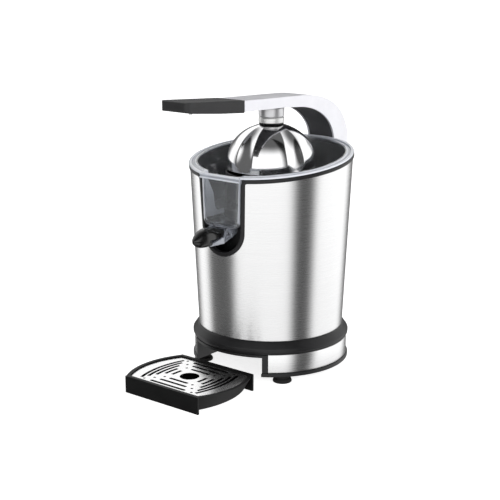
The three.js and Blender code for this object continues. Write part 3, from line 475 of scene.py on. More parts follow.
MATERIALS = {
    "black_plastic": moulded("black_plastic", (0.008, 0.008, 0.0085), (0.014, 0.014, 0.015), 0.34, 0.44),
    "deep_black": moulded("deep_black", (0.003, 0.003, 0.003), (0.006, 0.006, 0.006), 0.42, 0.5, gloss=0.2),
    "rubber": moulded("rubber", (0.007, 0.007, 0.007), (0.013, 0.013, 0.013), 0.62, 0.8, 1200, 0.05, 0.5),
    "brushed_steel": brushed(
        "brushed_steel", (14, 14, 3000), (0.75, 0.75, 0.755), (0.84, 0.84, 0.84), 0.25, 0.29, 0.65,
        relief=0.014,
    ),
    "flat_steel": brushed(
        "flat_steel", (1200, 9, 9), (0.80, 0.80, 0.80), (0.90, 0.90, 0.90), 0.20, 0.24, 0.0, False, 0.01
    ),
    "steel_hardware": brushed(
        "steel_hardware", (300, 300, 900), (0.50, 0.50, 0.51), (0.70, 0.70, 0.71), 0.25, 0.4, 0.3
    ),
    "chrome": polished("chrome", (0.80, 0.80, 0.81), (0.88, 0.88, 0.89), 0.09, 0.13),
    "silver_metal": silver_paint("silver_metal", (0.73, 0.73, 0.765), (0.79, 0.79, 0.825)),
    "dark_grey_plastic": moulded("dark_grey_plastic", (0.05, 0.05, 0.055), (0.075, 0.075, 0.08), 0.3, 0.42),
    "clear_plastic": clear_plastic("clear_plastic", 0.93, (0.82, 0.85, 0.88), (0.92, 0.94, 0.97)),
    # Paler, less clear copies of the clear plastic paint highlights on the collector; the greyer copy paints
    # shade.
    "clear_painted_highlight": clear_plastic("clear_painted_highlight", 0.16, (0.80, 0.83, 0.90), (0.92, 0.94, 1.0)),
    "clear_painted_soft_highlight": clear_plastic("clear_painted_soft_highlight", 0.52, (0.68, 0.72, 0.80), (0.80, 0.83, 0.90)),
    "clear_painted_shade": clear_plastic("clear_painted_shade", 0.80, (0.60, 0.63, 0.70), (0.72, 0.75, 0.82)),
    "satin_steel": polished("satin_steel", (0.56, 0.56, 0.57), (0.64, 0.64, 0.65), 0.34, 0.40, relief=0.01),
    "pale_steel": polished("pale_steel", (0.74, 0.74, 0.73), (0.86, 0.86, 0.85), 0.35, 0.45, 0.7),
    "soft_black": moulded("soft_black", (0.026, 0.026, 0.027), (0.036, 0.036, 0.037), 0.5, 0.6, gloss=0.22),
    "gloss_black": moulded(
        "gloss_black", (0.004, 0.004, 0.004), (0.009, 0.009, 0.009), 0.10, 0.18, 900, 0.02, 0.1, 0.6
    ),
    "grey_plastic": moulded("grey_plastic", (0.15, 0.15, 0.16), (0.20, 0.20, 0.21), 0.45, 0.6),
    "white_nylon": moulded("white_nylon", (0.72, 0.71, 0.66), (0.82, 0.81, 0.77), 0.4, 0.55),
    "copper_winding": brushed(
        "copper_winding", (60, 60, 1500), (0.42, 0.18, 0.08), (0.62, 0.30, 0.15), 0.3, 0.5, 0.2
    ),
    "bronze": polished("bronze", (0.45, 0.31, 0.14), (0.58, 0.41, 0.20), 0.25, 0.4),
}


# ---- body
def notch_tool(inset, back):
    """The notch, cut from the front: a half circle below sides that open a little upwards."""
    radius = NOTCH_RADIUS - inset
    half = radius + NOTCH_FLARE * (CUT_TOP - NOTCH_Z)
    bottom = arc(0, NOTCH_Z, radius, 180, 360, 28)
    return prism([Vector((half, CUT_TOP)), Vector((-half, CUT_TOP)), *bottom], -125, back, "forward")


def on_cone(x, z):
    """The angle from the front at which a point x to the side lies on the cone."""
    return math.asin(max(-1.0, min(1.0, x / body_radius(z))))


def cone_point(angle, z):
    """The point on the cone at an angle from the front and a height."""
    radius = body_radius(z)
    return Vector((radius * math.sin(angle), -radius * math.cos(angle), z))


def notch_side(inset, rim_lift, steps):
    """The notch's edge on the cone as (angle, height), from its right top round to its left top."""
    radius = NOTCH_RADIUS - inset
    rim = rim_height_at_notch(inset, rim_lift)
    points = []
    for k in range(steps):
        z = rim + (NOTCH_Z - rim) * k / steps
        points.append((on_cone(radius + NOTCH_FLARE * (z - NOTCH_Z), z), z))
    for p in arc(0, NOTCH_Z, radius, 0, -180, 2 * steps):
        points.append((on_cone(p.x, p.y), p.y))
    for k in range(1, steps + 1):
        z = NOTCH_Z + (rim - NOTCH_Z) * k / steps
        points.append((-on_cone(radius + NOTCH_FLARE * (z - NOTCH_Z), z), z))
    return points


def rim_at(angle, lift):
    """The rim's height at an angle from the front."""
    return RIM_HEIGHT + lift - RIM_SLOPE * BODY_TOP_RADIUS * math.cos(angle)


def rim_height_at_notch(inset, lift):
    """Where the notch's side meets the rim, found by closing in on it."""
    z = RIM_HEIGHT - RIM_SLOPE * BODY_TOP_RADIUS
    for _ in range(4):
        z = rim_at(on_cone(NOTCH_RADIUS - inset + NOTCH_FLARE * (z - NOTCH_Z), z), lift)
    return z


def sheet_outline(low):
    """The flat sheet's edge as (angle, height): along the rim, round the notch and along the foot."""
    step = math.radians(1.5)
    side = notch_side(-GAP, TRIM_LAP, 14)
    start = side[0][0]
    count = int((math.pi - start) / step)
    rim_right = [start + (math.pi - start) * k / count for k in range(1, count + 1)]
    outline = [(a, rim_at(a, TRIM_LAP)) for a in reversed(rim_right)]
    outline += side
    outline += [(-a, rim_at(a, TRIM_LAP)) for a in rim_right]
    turns = 2 * len(rim_right)
    return outline + [(-math.pi + 2 * math.pi * k / turns, low) for k in range(turns + 1)]


def sheet_inside(low):
    """Points (angle, height) all over the sheet, so that it wraps to a smooth cone."""
    columns = 120
    rows = 16
    grid = []
    for i in range(1, columns):
        for j in range(1, rows):
            grid.append((-math.pi + 2 * math.pi * i / columns, low + (BODY_TOP - low) * j / rows))
    return [p for p in grid if inside_body(*p)]


def make_steel_body():
    """The brushed cone: one fine sheet wrapped round the body, with the notch left out."""
    unroll = 100.0
    outline = sheet_outline(SHELL_LOW.z)
    flat = [Vector((a * unroll, z)) for a, z in outline + sheet_inside(SHELL_LOW.z)]
    loop = list(range(len(outline)))
    points, _, faces, *_ = delaunay_2d_cdt(flat, [], [loop], 1, 1e-4)
    bm = bmesh.new()
    verts = [bm.verts.new(cone_point(p.x / unroll, p.y)) for p in points]
    for face in faces:
        bm.faces.new([verts[i] for i in face])
    bmesh.ops.remove_doubles(bm, verts=bm.verts, dist=1e-3)
    bmesh.ops.recalc_face_normals(bm, faces=bm.faces)
    obj = piece("steel_body", bm, "base", "brushed_steel", ["body_shell"], sharp=60)
    thickness = obj.modifiers.new("sheet", "SOLIDIFY")
    thickness.thickness = SHEET * MM
    thickness.offset = -1


def inside_body(angle, z):
    """True well inside the sheet: below the rim and clear of the notch."""
    margin = 3.0
    if z > rim_at(angle, -margin):
        return False
    if abs(angle) > math.pi / 2:
        return True
    x = abs(body_radius(z) * math.sin(angle))
    if z < NOTCH_Z:
        return math.hypot(x, z - NOTCH_Z) > NOTCH_RADIUS + margin
    return x > NOTCH_RADIUS + NOTCH_FLARE * (z - NOTCH_Z) + margin


def trim_path():
    """The edging's middle line as (angle, height), along the rim and down round the notch."""
    middle = NOTCH_BAND / 2
    corner = 6.0
    steps = 110
    rim = rim_height_at_notch(middle, TRIM_LIFT)
    half = NOTCH_RADIUS - middle + NOTCH_FLARE * (rim - NOTCH_Z)
    turn = rounded([
        (half + 22, rim + 0.4, 0), (half, rim, corner), (NOTCH_RADIUS - middle, NOTCH_Z, 0),
    ], 8)[1:-1]
    reach = on_cone(turn[0].x, rim)
    ring = [math.pi + (reach - math.pi) * k / steps for k in range(steps)]
    path = [(a, rim_at(a, TRIM_LIFT)) for a in ring]
    path += [(on_cone(p.x, p.y), p.y) for p in turn]
    path += [p for p in notch_side(middle, TRIM_LIFT, 8) if p[1] < turn[-1].y - 0.5]
    path += [(-on_cone(p.x, p.y), p.y) for p in reversed(turn)]
    return path + [(-a, rim_at(a, TRIM_LIFT)) for a in reversed(ring[1:])]


def make_rim_trim():
    """The black edging: one closed band round the rim and down round the notch."""
    proud = 1.25
    depth = 6.4
    section = rounded([
        (-TRIM_HALF, -depth + proud, 0.5), (TRIM_HALF, -depth + proud, 0.5), (TRIM_HALF, proud, 1.1),
        (-TRIM_HALF, proud, 1.1),
    ], 4)
    path = trim_path()
    places = [cone_point(a, z) for a, z in path]
    rings = []
    for i, place in enumerate(places):
        tangent = (places[(i + 1) % len(places)] - places[i - 1]).normalized()
        outward = Vector((place.x, place.y, 0)).normalized()
        outward = (outward - outward.dot(tangent) * tangent).normalized()
        across = tangent.cross(outward)
        widen = band_share(path[i]) * (NOTCH_BAND / 2 / TRIM_HALF - 1) + 1
        rings.append([place + across * s.x * widen + outward * s.y for s in section])
    piece("rim_edging", loft(rings, closed=True), "base", "black_plastic", ["rim_trim"], sharp=40)


def band_share(point):
    """0 on the rim and 1 on the notch band, changing round the corner."""
    angle, z = point
    drop = rim_at(angle, TRIM_LIFT) - z
    return max(0.0, min(1.0, drop / 8)) if abs(angle) < 0.6 else 0.0


def make_inner_housing():
    """The black housing inside the shell: its wall, deck and the collector's seat."""
    low = span("inner_housing")[0].z
    deck = low + 3
    wall = 2.5
    foot_radius = body_radius(low) - SHEET - GAP
    top_radius = body_radius(CUT_TOP) - SHEET - GAP
    shaft_hole = 9
    seat_radius = 73
    seat_wall = 3
    seat_top = CUP_FLOOR - 0.5
    outline = [
        (shaft_hole, low), (foot_radius, low), (top_radius, CUT_TOP), (top_radius - wall, CUT_TOP),
        (foot_radius - wall, deck), (seat_radius, deck), (seat_radius, seat_top),
        (seat_radius - seat_wall, seat_top), (seat_radius - seat_wall, deck), (shaft_hole, deck),
    ]
    seat_gap = box(-30, 30, -90, -55, 192.5, 206)
    bm = cut(lathe(outline, 96), above_rim(TRIM_LAP), notch_tool(-GAP, -78), seat_gap)
    piece("housing_liner", bm, "base", "black_plastic", ["inner_housing"])


# ---- base
def make_plinth():
    """The base moulding: a ring under a sloped collar, and the walls of the tray recess."""
    wall = 93.4
    seat = 96.6
    band_low = 14.2
    band_high = 38.2
    crease = 40.4
    ring = lathe(rounded([
        (wall, FOOT_TOP, 0), (BASE_RADIUS, FOOT_TOP, 0.9), (BASE_RADIUS, band_low, 0.7),
        (seat, band_low, 0), (seat, band_high, 0), (BASE_RADIUS - 1.6, band_high, 0.3),
        (BASE_RADIUS - 1.2, crease, 0.2), (BASE_RADIUS - 0.05, crease + 0.7, 0.6),
        (BASE_RADIUS, crease + 4.6, 2.6), (BODY_FOOT_RADIUS + 2.4, COLLAR_TOP - 0.9, 1.6),
        (BODY_FOOT_RADIUS + 0.2, COLLAR_TOP, 0.3), (BODY_FOOT_RADIUS - 3.7, COLLAR_TOP, 0),
        (wall, COLLAR_TOP - 5, 0),
    ], 5), 192)
    outer = RECESS_HALF + FRAME_WIDTH
    top = RECESS_TOP + 3.2
    walls = combined(
        box(-outer, outer, -110, RECESS_BACK + 3, FOOT_TOP, top), disc(98.6, 0, top + 1, 192), "INTERSECT"
    )
    recess = box(-RECESS_HALF, RECESS_HALF, -115, RECESS_BACK, 0, RECESS_TOP)
    bm = cut(joined(ring, walls), recess, gland_hole())
    piece("plinth_moulding", bm, "base", "black_plastic", ["plinth"], bevel=0.5)


def gland_hole():
    """The hole for the cord gland, low in the middle of the back."""
    height = 26
    sides = 40
    circle = arc(0, height, GLAND_BORE, 0, 360 * (sides - 1) / sides, sides - 1)
    return prism(circle, 80, 110, "forward")


def make_base_band():
    """The steel strip round the base, open at the front for the recess."""
    low, high = span("base_band")
    radius = high.x
    inner = radius - 1.1
    front = math.asin((RECESS_HALF + FRAME_WIDTH + 0.5) / radius)
    steps = 120
    section = rounded([(inner, low.z, 0), (radius, low.z, 0.4), (radius, high.z, 0.4), (inner, high.z, 0)], 3)
    rings = []
    for k in range(steps + 1):
        angle = front + (2 * math.pi - 2 * front) * k / steps
        rings.append([(s.x * math.sin(angle), -s.x * math.cos(angle), s.y) for s in section])
    bm = cut(loft(rings), gland_hole())
    piece("base_band_sheet", bm, "base", "brushed_steel", ["base_band"], sharp=40)


def make_feet():
    for number in range(1, 5):
        node = f"foot_{number}"
        low, high = span(node)
        radius = (high.x - low.x) / 2
        outline = rounded([
            (0, 0, 0), (radius - 0.6, 0, 0.6), (radius, 1.6, 0.8), (radius - 1.0, 4.4, 1.4),
            (9.0, 5.6, 0.8), (8.6, high.z, 0), (0, high.z, 0),
        ], 4)
        bm = moved(lathe(outline, 48), (low.x + high.x) / 2, (low.y + high.y) / 2)
        piece(f"foot_pad_{number}", bm, "base", "rubber", [node])


# ---- juice path
def window_body(inset, top):
    """The pocket behind the window: it opens upwards like the notch, and its edges are rounded."""
    low = WINDOW_FLOOR + inset
    corner = 8.0 - inset
    front = WINDOW_FRONT + inset
    edge = 5.0 - 0.6 * inset
    turns = [math.radians(10 * k) for k in range(10)]
    levels = [(low + corner * (1 - math.cos(a)), corner * (1 - math.sin(a))) for a in turns]
    rings = []
    for z, pull in [*levels, (top, 0.0)]:
        half = WINDOW_HALF - inset - pull + NOTCH_FLARE * (z - WINDOW_FLOOR)
        plan = rounded([(-half, -60, 0), (-half, front, edge), (half, front, edge), (half, -60, 0)], 8)
        rings.append([Vector((p.x, p.y, z)) for p in plan])
    return loft(rings)


def chute_plan(half, taper, tip, tip_half, reach):
    """The chute from above: straight sides that close in to a narrow tip."""
    right = [(half, -80), (half, taper), (tip_half, tip), (tip_half, reach)]
    return right + [(-x, y) for x, y in reversed(right)]


def chute_body():
    side = rounded([
        (-84, 196, 0), (-84, 187, 2), (-92, 183.5, 4), (-120.5, 173.5, 0.5), (-120.3, 175.4, 0.5),
        (-108, 186, 3), (-106, 191, 3), (-101, 194.8, 2), (-98, 196, 0),
    ], 4)
    plan = prism(chute_plan(15, -109, -120.5, 2, -122), 170, 200)
    return combined(prism(side, -15, 15, "across"), plan, "INTERSECT")


def chute_channel():
    side = [
        (-87, 193.7), (-87, 189.5), (-92.5, 186.2), (-124, 175.2), (-124, 197), (-100.5, 197),
        (-100.5, 193.7),
    ]
    plan = prism(chute_plan(12.6, -108, -118.8, 0.9, -125), 170, 200)
    return combined(prism(side, -12.6, 12.6, "across"), plan, "INTERSECT")


def cup_outside():
    radius = CUP_RADIUS
    return lathe(rounded([
        (0, CUP_FLOOR, 0), (radius - 8, CUP_FLOOR, 3), (radius - 2, CUP_FLOOR + 7, 4),
        (radius, CUP_FLOOR + 25, 8), (MOUTH_RADIUS, CUP_FLOOR + 43, 6), (MOUTH_RADIUS, CUT_TOP, 0),
        (0, CUT_TOP, 0),
    ], 4), 144)


def cup_inside():
    radius = CUP_RADIUS - CUP_WALL
    mouth = MOUTH_RADIUS - CUP_WALL
    floor = CUP_FLOOR + CUP_WALL
    top = CUT_TOP + 2
    return lathe(rounded([
        (0, floor, 0), (radius - 6.2, floor, 3), (radius - 2, CUP_FLOOR + 7.5, 4),
        (radius, CUP_FLOOR + 25.4, 8), (mouth, CUP_FLOOR + 43.4, 6), (mouth, top, 0), (0, top, 0),
    ], 4), 144)


def flange_ring():
    """The collector's flange on the rim, with a raised lip along each of its edges."""
    low = RIM_HEIGHT + FLANGE_LIFT
    top = RIM_HEIGHT + FLANGE_TOP
    return lathe(rounded([
        (MOUTH_RADIUS - 1, low, 0), (FLANGE_RADIUS, low, 0.5), (FLANGE_RADIUS, top, 1.1),
        (FLANGE_RADIUS - 3.6, top, 0.6), (FLANGE_RADIUS - 4.4, top - 1.3, 0.5),
        (MOUTH_RADIUS + 1.4, top - 1.3, 0.5), (MOUTH_RADIUS + 0.8, top - 0.1, 0.5),
        (MOUTH_RADIUS - 1, top - 0.1, 0),
    ], 3), 192, slope=RIM_SLOPE)


def window_lip():
    """The thick lip along the top of the window, with a bead above and below its face."""
    back = -98
    bead = WINDOW_FRONT - 1.3
    face = WINDOW_FRONT - 0.4
    return prism(rounded([
        (back, LIP_LOW, 0), (bead, LIP_LOW, 0.5), (bead, LIP_LOW + 1.2, 0.5), (face, LIP_LOW + 1.9, 0.3),
        (face, LIP_TOP - 1.9, 0.3), (bead, LIP_TOP - 1.2, 0.3), (bead, CUT_TOP, 0), (back, CUT_TOP, 0),
    ], 3), -LIP_HALF + 0.4, LIP_HALF - 0.4, "across")


def make_collector():
    """The clear collector: cup, flange with its raised lips, front window and chute, in one."""
    flush = box(-LIP_HALF, LIP_HALF, -115, WINDOW_FRONT, 200, CUT_TOP + 5)
    walls = cut(joined(cup_outside(), window_body(0, CUT_TOP), window_lip()), above_rim(FLANGE_TOP - 0.1))
    whole = joined(walls, cut(flange_ring(), flush), chute_body())
    whole = cut(whole, cup_inside(), window_body(CUP_WALL, CUT_TOP + 5))
    bore = 7
    hub = lathe([(bore, CUP_FLOOR), (10, CUP_FLOOR), (10, 226), (bore, 226)], 48)
    whole = joined(cut(whole, disc(bore, CUP_FLOOR - 1, CUP_FLOOR + 5)), hub)
    drop = box(-9, 9, -96, -87.5, 188, 198)
    whole = cut(whole, chute_channel(), drop, cross_rod(SPOUT_BORE, 30, PIN_Y, PIN_Z, 24))
    obj = piece("clear_collector", whole, "base", "clear_plastic", ["juice_collector"], sharp=30)
    # Faces of the collector take paler copies as painted highlights and a greyer copy as painted shade.
    for look in ("clear_painted_highlight", "clear_painted_soft_highlight", "clear_painted_shade"):
        obj.data.materials.append(MATERIALS[look])
    for polygon in obj.data.polygons:
        spot = polygon.center / MM - Vector((0, AXIS_Y / MM, 0))
        polygon.material_index = collector_painted_light(spot, polygon.normal)


def collector_painted_light(spot, normal):
    """0 clear, 1 a strong painted highlight, 2 a soft painted highlight, 3 painted shade: paler on the flange
    (brightest on its lips), on the lip along the window's top, down the window's sides and on the chute's
    right face; greyer along the window's bottom and on the rest of the chute.
    """
    radius = math.hypot(spot.x, spot.y)
    above = spot.z - RIM_HEIGHT - RIM_SLOPE * spot.y
    # The flange: painted highlights, strongest on its lips.
    if above > FLANGE_LIFT - 0.5 and radius > MOUTH_RADIUS - 2.8 and spot.y > WINDOW_FRONT + 1:
        return 1 if radius > FLANGE_RADIUS - 4.0 or radius < MOUTH_RADIUS + 1.5 else 2
    # The chute: painted highlight on its right face, painted shade everywhere else.
    if spot.z < WINDOW_FLOOR - 0.5:
        return 2 if normal.x > 0.5 and spot.y < -104 else 3
    # Painted highlight down the window's left edge.
    if spot.x < -24 and spot.y < -62 and radius > CUP_RADIUS - 3:
        return 1
    if spot.y > -93:
        return 0
    # Painted highlights on the lip along the window's top.
    if spot.z > LIP_LOW - 0.2:
        return 2 if LIP_LOW + 1.6 < spot.z < LIP_LOW + 4.6 else 1
    # Painted shade along the window's bottom.
    if spot.z < WINDOW_FLOOR + 2.5:
        return 3
    # Painted highlight down the window's right edge.
    return 2 if spot.x > 27.5 else 0


def scoop(stations, wall, up):
    """A thin half shell along Y. Each station is (y, half width, edge height, crown height)."""
    smooth = []
    for i, station in enumerate(stations[:-1]):
        after = stations[i + 1]
        before = stations[max(i - 1, 0)]
        beyond = stations[min(i + 2, len(stations) - 1)]
        for k in range(4):
            smooth.append(catmull(before, station, after, beyond, k / 4))
    smooth.append(stations[-1])
    rings = []
    for y, half, edge, crown in smooth:
        outside = []
        inside = []
        for k in range(25):
            angle = math.pi * k / 24
            x = math.copysign(abs(math.cos(angle)) ** 0.75, math.cos(angle))
            rise = math.sin(angle) ** 0.85 * up
            height = abs(crown - edge)
            thin = min(wall, half * 0.5)
            outside.append(Vector((x * half, y, edge + rise * height)))
            inside.append(Vector((x * (half - thin), y, edge + rise * max(height - thin, 0.2))))
        rings.append(outside + list(reversed(inside)))
    return loft(rings)


def catmull(a, b, c, d, t):
    """A point on the smooth curve through b and c."""
    return tuple(
        0.5 * (2 * q + (r - p) * t + (2 * p - 5 * q + 4 * r - s) * t * t + (3 * q - p - 3 * r + s) * t**3)
        for p, q, r, s in zip(a, b, c, d)
    )


def make_spout():
    """The drip-stop beak: a crowned hood over a short lower lip, with a slit between them at the tip."""
    hood = scoop([
        (-105.2, 12.0, 186.6, 191.4), (-108.5, 12.0, 185.8, 193.2), (-113, 12.0, 185.2, 195.6),
        (-122, 11.9, 184.7, 197.0), (-131, 10.9, 184.3, 195.8), (-138, 8.7, 184.2, 192.8),
        (-144, 5.4, 184.3, 188.6), (-147.4, 2.2, 184.3, 185.9), (-148.4, 0.9, 184.3, 185.0),
    ], 1.8, 1)
    lip = scoop([
        (-124, 9.6, 178.6, 175.9), (-127, 10.2, 181.6, 175.2), (-131, 10.6, 184.5, 174.9),
        (-138, 8.4, 184.4, 175.4), (-142, 6.4, 183.2, 177.4), (-145.4, 4.0, 183.2, 179.8),
        (-147.6, 1.8, 183.2, 181.9), (-148.4, 0.8, 183.2, 182.6),
    ], 1.6, -1)
    knuckle = cross_rod(3.8, 12, PIN_Y, PIN_Z)
    web = box(-11.9, 11.9, -108.5, -103, 186.4, 190.2)
    bm = joined(hood, lip, web, knuckle)
    bm = cut(bm, cross_rod(SPOUT_BORE, 30, PIN_Y, PIN_Z, 24))
    piece("spout_beak", bm, "spout", "black_plastic", ["spout"], look="gloss_black")


def make_strainer():
    """The strainer: a slotted floor inside a low wall, round a hub, on four legs."""
    hub = 10.6
    low = 214
    radius = 57.5
    top = 249
    wall = radius - 2.3
    floor = low + 2
    outline = rounded([
        (hub, low, 0), (radius, low, 1.5), (radius, top, 1.0), (wall, top, 0.9), (wall, floor, 1.5),
        (13, floor, 0.5), (13, 224, 0.6), (hub, 224, 0.6),
    ], 3)
    slot = rounded([(20, -1, 0.9), (49, -1.2, 1.1), (49, 1.2, 1.1), (20, 1, 0.9)], 3)
    slot_count = 32
    slots = around(lambda: prism(slot, low - 2, low + 4), slot_count, 180 / slot_count)
    legs = around(lambda: box(50.5, 55, -4, 4, 207.9, low + 0.5), 4, 45)
    bm = joined(cut(lathe(outline, 96), slots), legs)
    piece("strainer_basket", bm, "base", "black_plastic", ["strainer"])


def make_reamer():
    """The ribbed cone: ribs that swell from the tip down, over a flat rim."""
    low, high = span("reamer_cone")
    ribs = 10
    rim = high.x - 0.6
    base = low.z
    tip = 287.0
    shaft_bore = 4.4

    def ribbed(angle, radius, z):
        share = max(0.0, min(1.0, (z - base - 4) / 8)) * max(0.0, min(1.0, (tip - z) / 12))
        wave = abs(math.cos(angle * ribs / 2)) ** 1.6
        return radius * (1 - 0.26 * share * (1 - wave))

    side = bezier((rim - 4, base + 5), (26, base + 24), (16, tip - 16), (9, tip - 5), 30)
    crown = bezier((9, tip - 5), (7, tip - 1.6), (4, tip - 0.4), (0, tip), 8)[1:]
    foot = [(0, base), (rim, base), (rim, base + 2.2), (rim - 1, base + 3.4)]
    bm = lathe(foot + side + crown, 240, shape=ribbed)
    bm = cut(bm, disc(shaft_bore, base - 2, 258.3, 32))
    piece("ribbed_cone", bm, "cone", "black_plastic", ["reamer_cone"], sharp=40)


# ---- return spring
def make_return_spring():
    """A coil of round wire under the shaft's collar; on the real press it shortens as the cone is pressed
    down, while this coil keeps one length.
    """
    wire = 0.7
    turns = 3
    steps = 32
    low, high = span("return_spring")
    radius = high.x - wire
    bottom = low.z + wire
    rise = high.z - low.z - 2 * wire
    rings = []
    for k in range(turns * steps + 1):
        turn = 2 * math.pi * k / steps
        outward = Vector((math.cos(turn), math.sin(turn), 0))
        centre = outward * radius + Vector((0, 0, bottom + rise * k / (turns * steps)))
        section = arc(0, 0, wire, 0, 330, 11)
        rings.append([centre + outward * p.x + Vector((0, 0, p.y)) for p in section])
    obj = piece("return_spring_coil", loft(rings), "drive", "steel_hardware", ["return_spring"], sharp=50)
    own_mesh(obj)


# ---- press arm
def arm_top_edge(inset):
    """The arm's top and back edge, moved inwards by the wall."""
    front = ARM_LOW.y - (5 if inset else 0)
    back = ARM_HIGH.y
    points = [Vector((front, 345.9 - inset)), Vector((-20, 343.8 - inset))]
    bend = [(34, 341.8), (98 - inset, 340), (back + 0.5 - inset, 316), (back - inset, 267.9 + inset)]
    return points + bezier(*[(y, z - inset) for y, z in bend], 32)


def arm_under_edge(lift):
    """The arm's underside, from the front to the top of the leg, moved up and back by the lift."""
    points = [Vector((-77.0, 332.7 + lift)), Vector((-0.6, 330 + lift))]
    bend = [(34.2, 327.4 + lift), (70 + lift, 324 + lift), (104 + lift, 306), (106.1 + lift, 276.6)]
    return points + bezier(*bend, 28)


def make_arm():
    """The arm: a channel, open below, that ends in a round boss on the hinge."""
    back = ARM_HIGH.y
    boss = back - PIVOT_Y
    outline = arm_top_edge(0) + [Vector((back, 254))]
    outline += arc(PIVOT_Y, PIVOT_Z, boss, 0, -180, 24)
    outline += list(reversed(arm_under_edge(0)))
    outline[-1].x = ARM_LOW.y
    body = prism(outline, -ARM_HALF, ARM_HALF, "across")
    wall = 2.5
    channel = arm_top_edge(wall) + [Vector((back - wall, PIVOT_Z)), Vector((back - wall - 2.4, 228))]
    channel += [Vector((back + 8, 222)), Vector((back + 8, 205)), Vector((60, 205))]
    channel += [Vector((ARM_LOW.y - 5, 320))]
    tool = prism(channel, -ARM_HALF + wall, ARM_HALF - wall, "across")
    bm = cut(body, tool, cross_rod(HINGE_BORE, 60, PIVOT_Y, PIVOT_Z))
    piece("arm_casting", bm, "arm", "silver_metal", ["press_arm"], bevel=0.9, segments=3)


def make_arm_liner():
    """The dark inlay that closes the arm's underside."""
    half = ARM_HALF - 2.8
    lower = arm_under_edge(0.5)
    upper = arm_under_edge(3.3)
    lower[-1].y = upper[-1].y
    bm = prism(lower + list(reversed(upper)), -half, half, "across")
    bm = cut(bm, disc(BOLT_BORE, 300, 345))
    piece("arm_inlay", bm, "arm", "dark_grey_plastic", ["arm_liner"], bevel=0.4)


def make_grip():
    """The soft black grip, with a pocket for the steel tongue and two screw holes below."""
    back = GRIP_HIGH.y
    front = GRIP_LOW.y
    bend = front + 7
    side = [Vector((back, 331.4)), Vector((back, 346.4)), Vector((bend, 352.9))]
    side += bezier((bend, 352.9), (front + 2.5, 353.2), (front, 352.6), (front, 350.5), 8)[1:]
    side += bezier((front, 344.5), (front, 342.2), (front + 2.5, 340.9), (bend, 340.2), 8)
    side += [Vector((-120, 334.8))]
    corner = 6.5
    plan = rounded([
        (-ARM_HALF, back + 1, 0), (-ARM_HALF, front, corner), (ARM_HALF, front, corner),
        (ARM_HALF, back + 1, 0),
    ], 10)
    body = combined(prism(side, -ARM_HALF, ARM_HALF, "across"), prism(plan, 300, 380), "INTERSECT")
    pocket = prism([(-76, 336.4), (-162.4, 341.2), (-162.4, 348.3), (-76, 342.4)], -12.4, 12.4, "across")
    holes = merged_parts([disc(2.3, 320, 341, 24, 0, y) for y in (-105, -150)])
    bm = cut(body, pocket, holes)
    piece(
        "grip_moulding", bm, "arm", "black_plastic", ["handle_grip"], bevel=1.0, segments=4, look="soft_black"
    )


def make_neck():
    """The collar, the sleeve and the gasket that the dome's bolt runs through."""
    radius = 16
    top = 328.9
    joint = 317.4
    collar = rounded([
        (BOLT_BORE, joint, 0), (radius - 1.1, joint, 0.3), (radius, joint + 1.2, 0.6), (radius, top, 0.5),
        (BOLT_BORE, top, 0),
    ], 3)
    piece("neck_collar_turned", lathe(collar, 96), "arm", "chrome", ["neck_collar"], look="satin_steel")
    low = 310.4
    sleeve = rounded([
        (BOLT_BORE, low, 0), (radius, low, 0.4), (radius, joint - 1.4, 0.5), (radius - 1, joint - GAP, 0.3),
        (BOLT_BORE, joint - GAP, 0),
    ], 3)
    piece("neck_sleeve_turned", lathe(sleeve, 96), "arm", "silver_metal", ["neck_sleeve"], look="pale_steel")
    foot = 308.4
    rim = radius - 0.6
    gasket = [(BOLT_BORE, foot, 0), (rim, foot, 0.6), (rim, low - GAP, 0.6), (BOLT_BORE, low - GAP, 0)]
    piece("neck_gasket_ring", lathe(rounded(gasket, 4), 96), "arm", "rubber", ["neck_gasket"])


def make_dome():
    """The polished press dome: five broad panels with narrow hollows between them."""
    top = 308
    hollow_low = 255
    hollow_depth = 3.6
    hollow_half = math.radians(13)
    period = 2 * math.pi / 5
    front = -math.pi / 2

    def fluted(angle, radius, z):
        offset = (angle - front + period / 2) % period - period / 2
        valley = max(0.0, 1 - (offset / hollow_half) ** 2)
        depth = math.sin(math.pi * max(0.0, min(1.0, (top - z) / (top - hollow_low)))) ** 0.6
        return radius - hollow_depth * depth * valley

    outer = [(BOLT_BORE, top), (14.6, top - 0.1)]
    outer += bezier((15.6, 307.5), (30, 304.5), (45, 294), (51.5, 280), 22)
    outer += bezier((51.5, 280), (55.6, 271), (57.0, 264), (56.6, 254.5), 16)[1:]
    rim = arc(55.5, 253.4, 1.2, 0, -180, 8)
    inner = bezier((54.2, 254.5), (54.8, 264), (53.4, 270.6), (49.5, 279), 16)
    inner += bezier((49.5, 279), (43.4, 291.6), (29, 302), (14.4, 305.2), 18)[1:]
    inner += [(BOLT_BORE, 305.6)]
    bm = lathe(outer + rim + inner, 300, shape=fluted)
    piece("dome_shell", bm, "arm", "chrome", ["press_dome"], sharp=50)


# ---- drip tray
def tray_outline(half_depth, corner_half, bulge):
    """The tray from above: straight front and back, and ends that bulge out from the corners."""
    steps = 24
    rise = bulge - corner_half
    radius = (half_depth**2 + rise**2) / (2 * rise)
    swing = math.degrees(math.asin(half_depth / radius))
    centre = bulge - radius
    right = arc(centre, 0, radius, -swing, swing, steps)
    left = arc(-centre, 0, radius, 180 - swing, 180 + swing, steps)
    return right + left


def drafted(outline, low, high, share_x, share_y):
    """An outline raised between two levels, with its lower face drawn in."""
    bm = prism(outline, low, high)
    for v in bm.verts:
        if v.co.z < (low + high) / 2:
            v.co.x *= share_x
            v.co.y *= share_y
    return bm


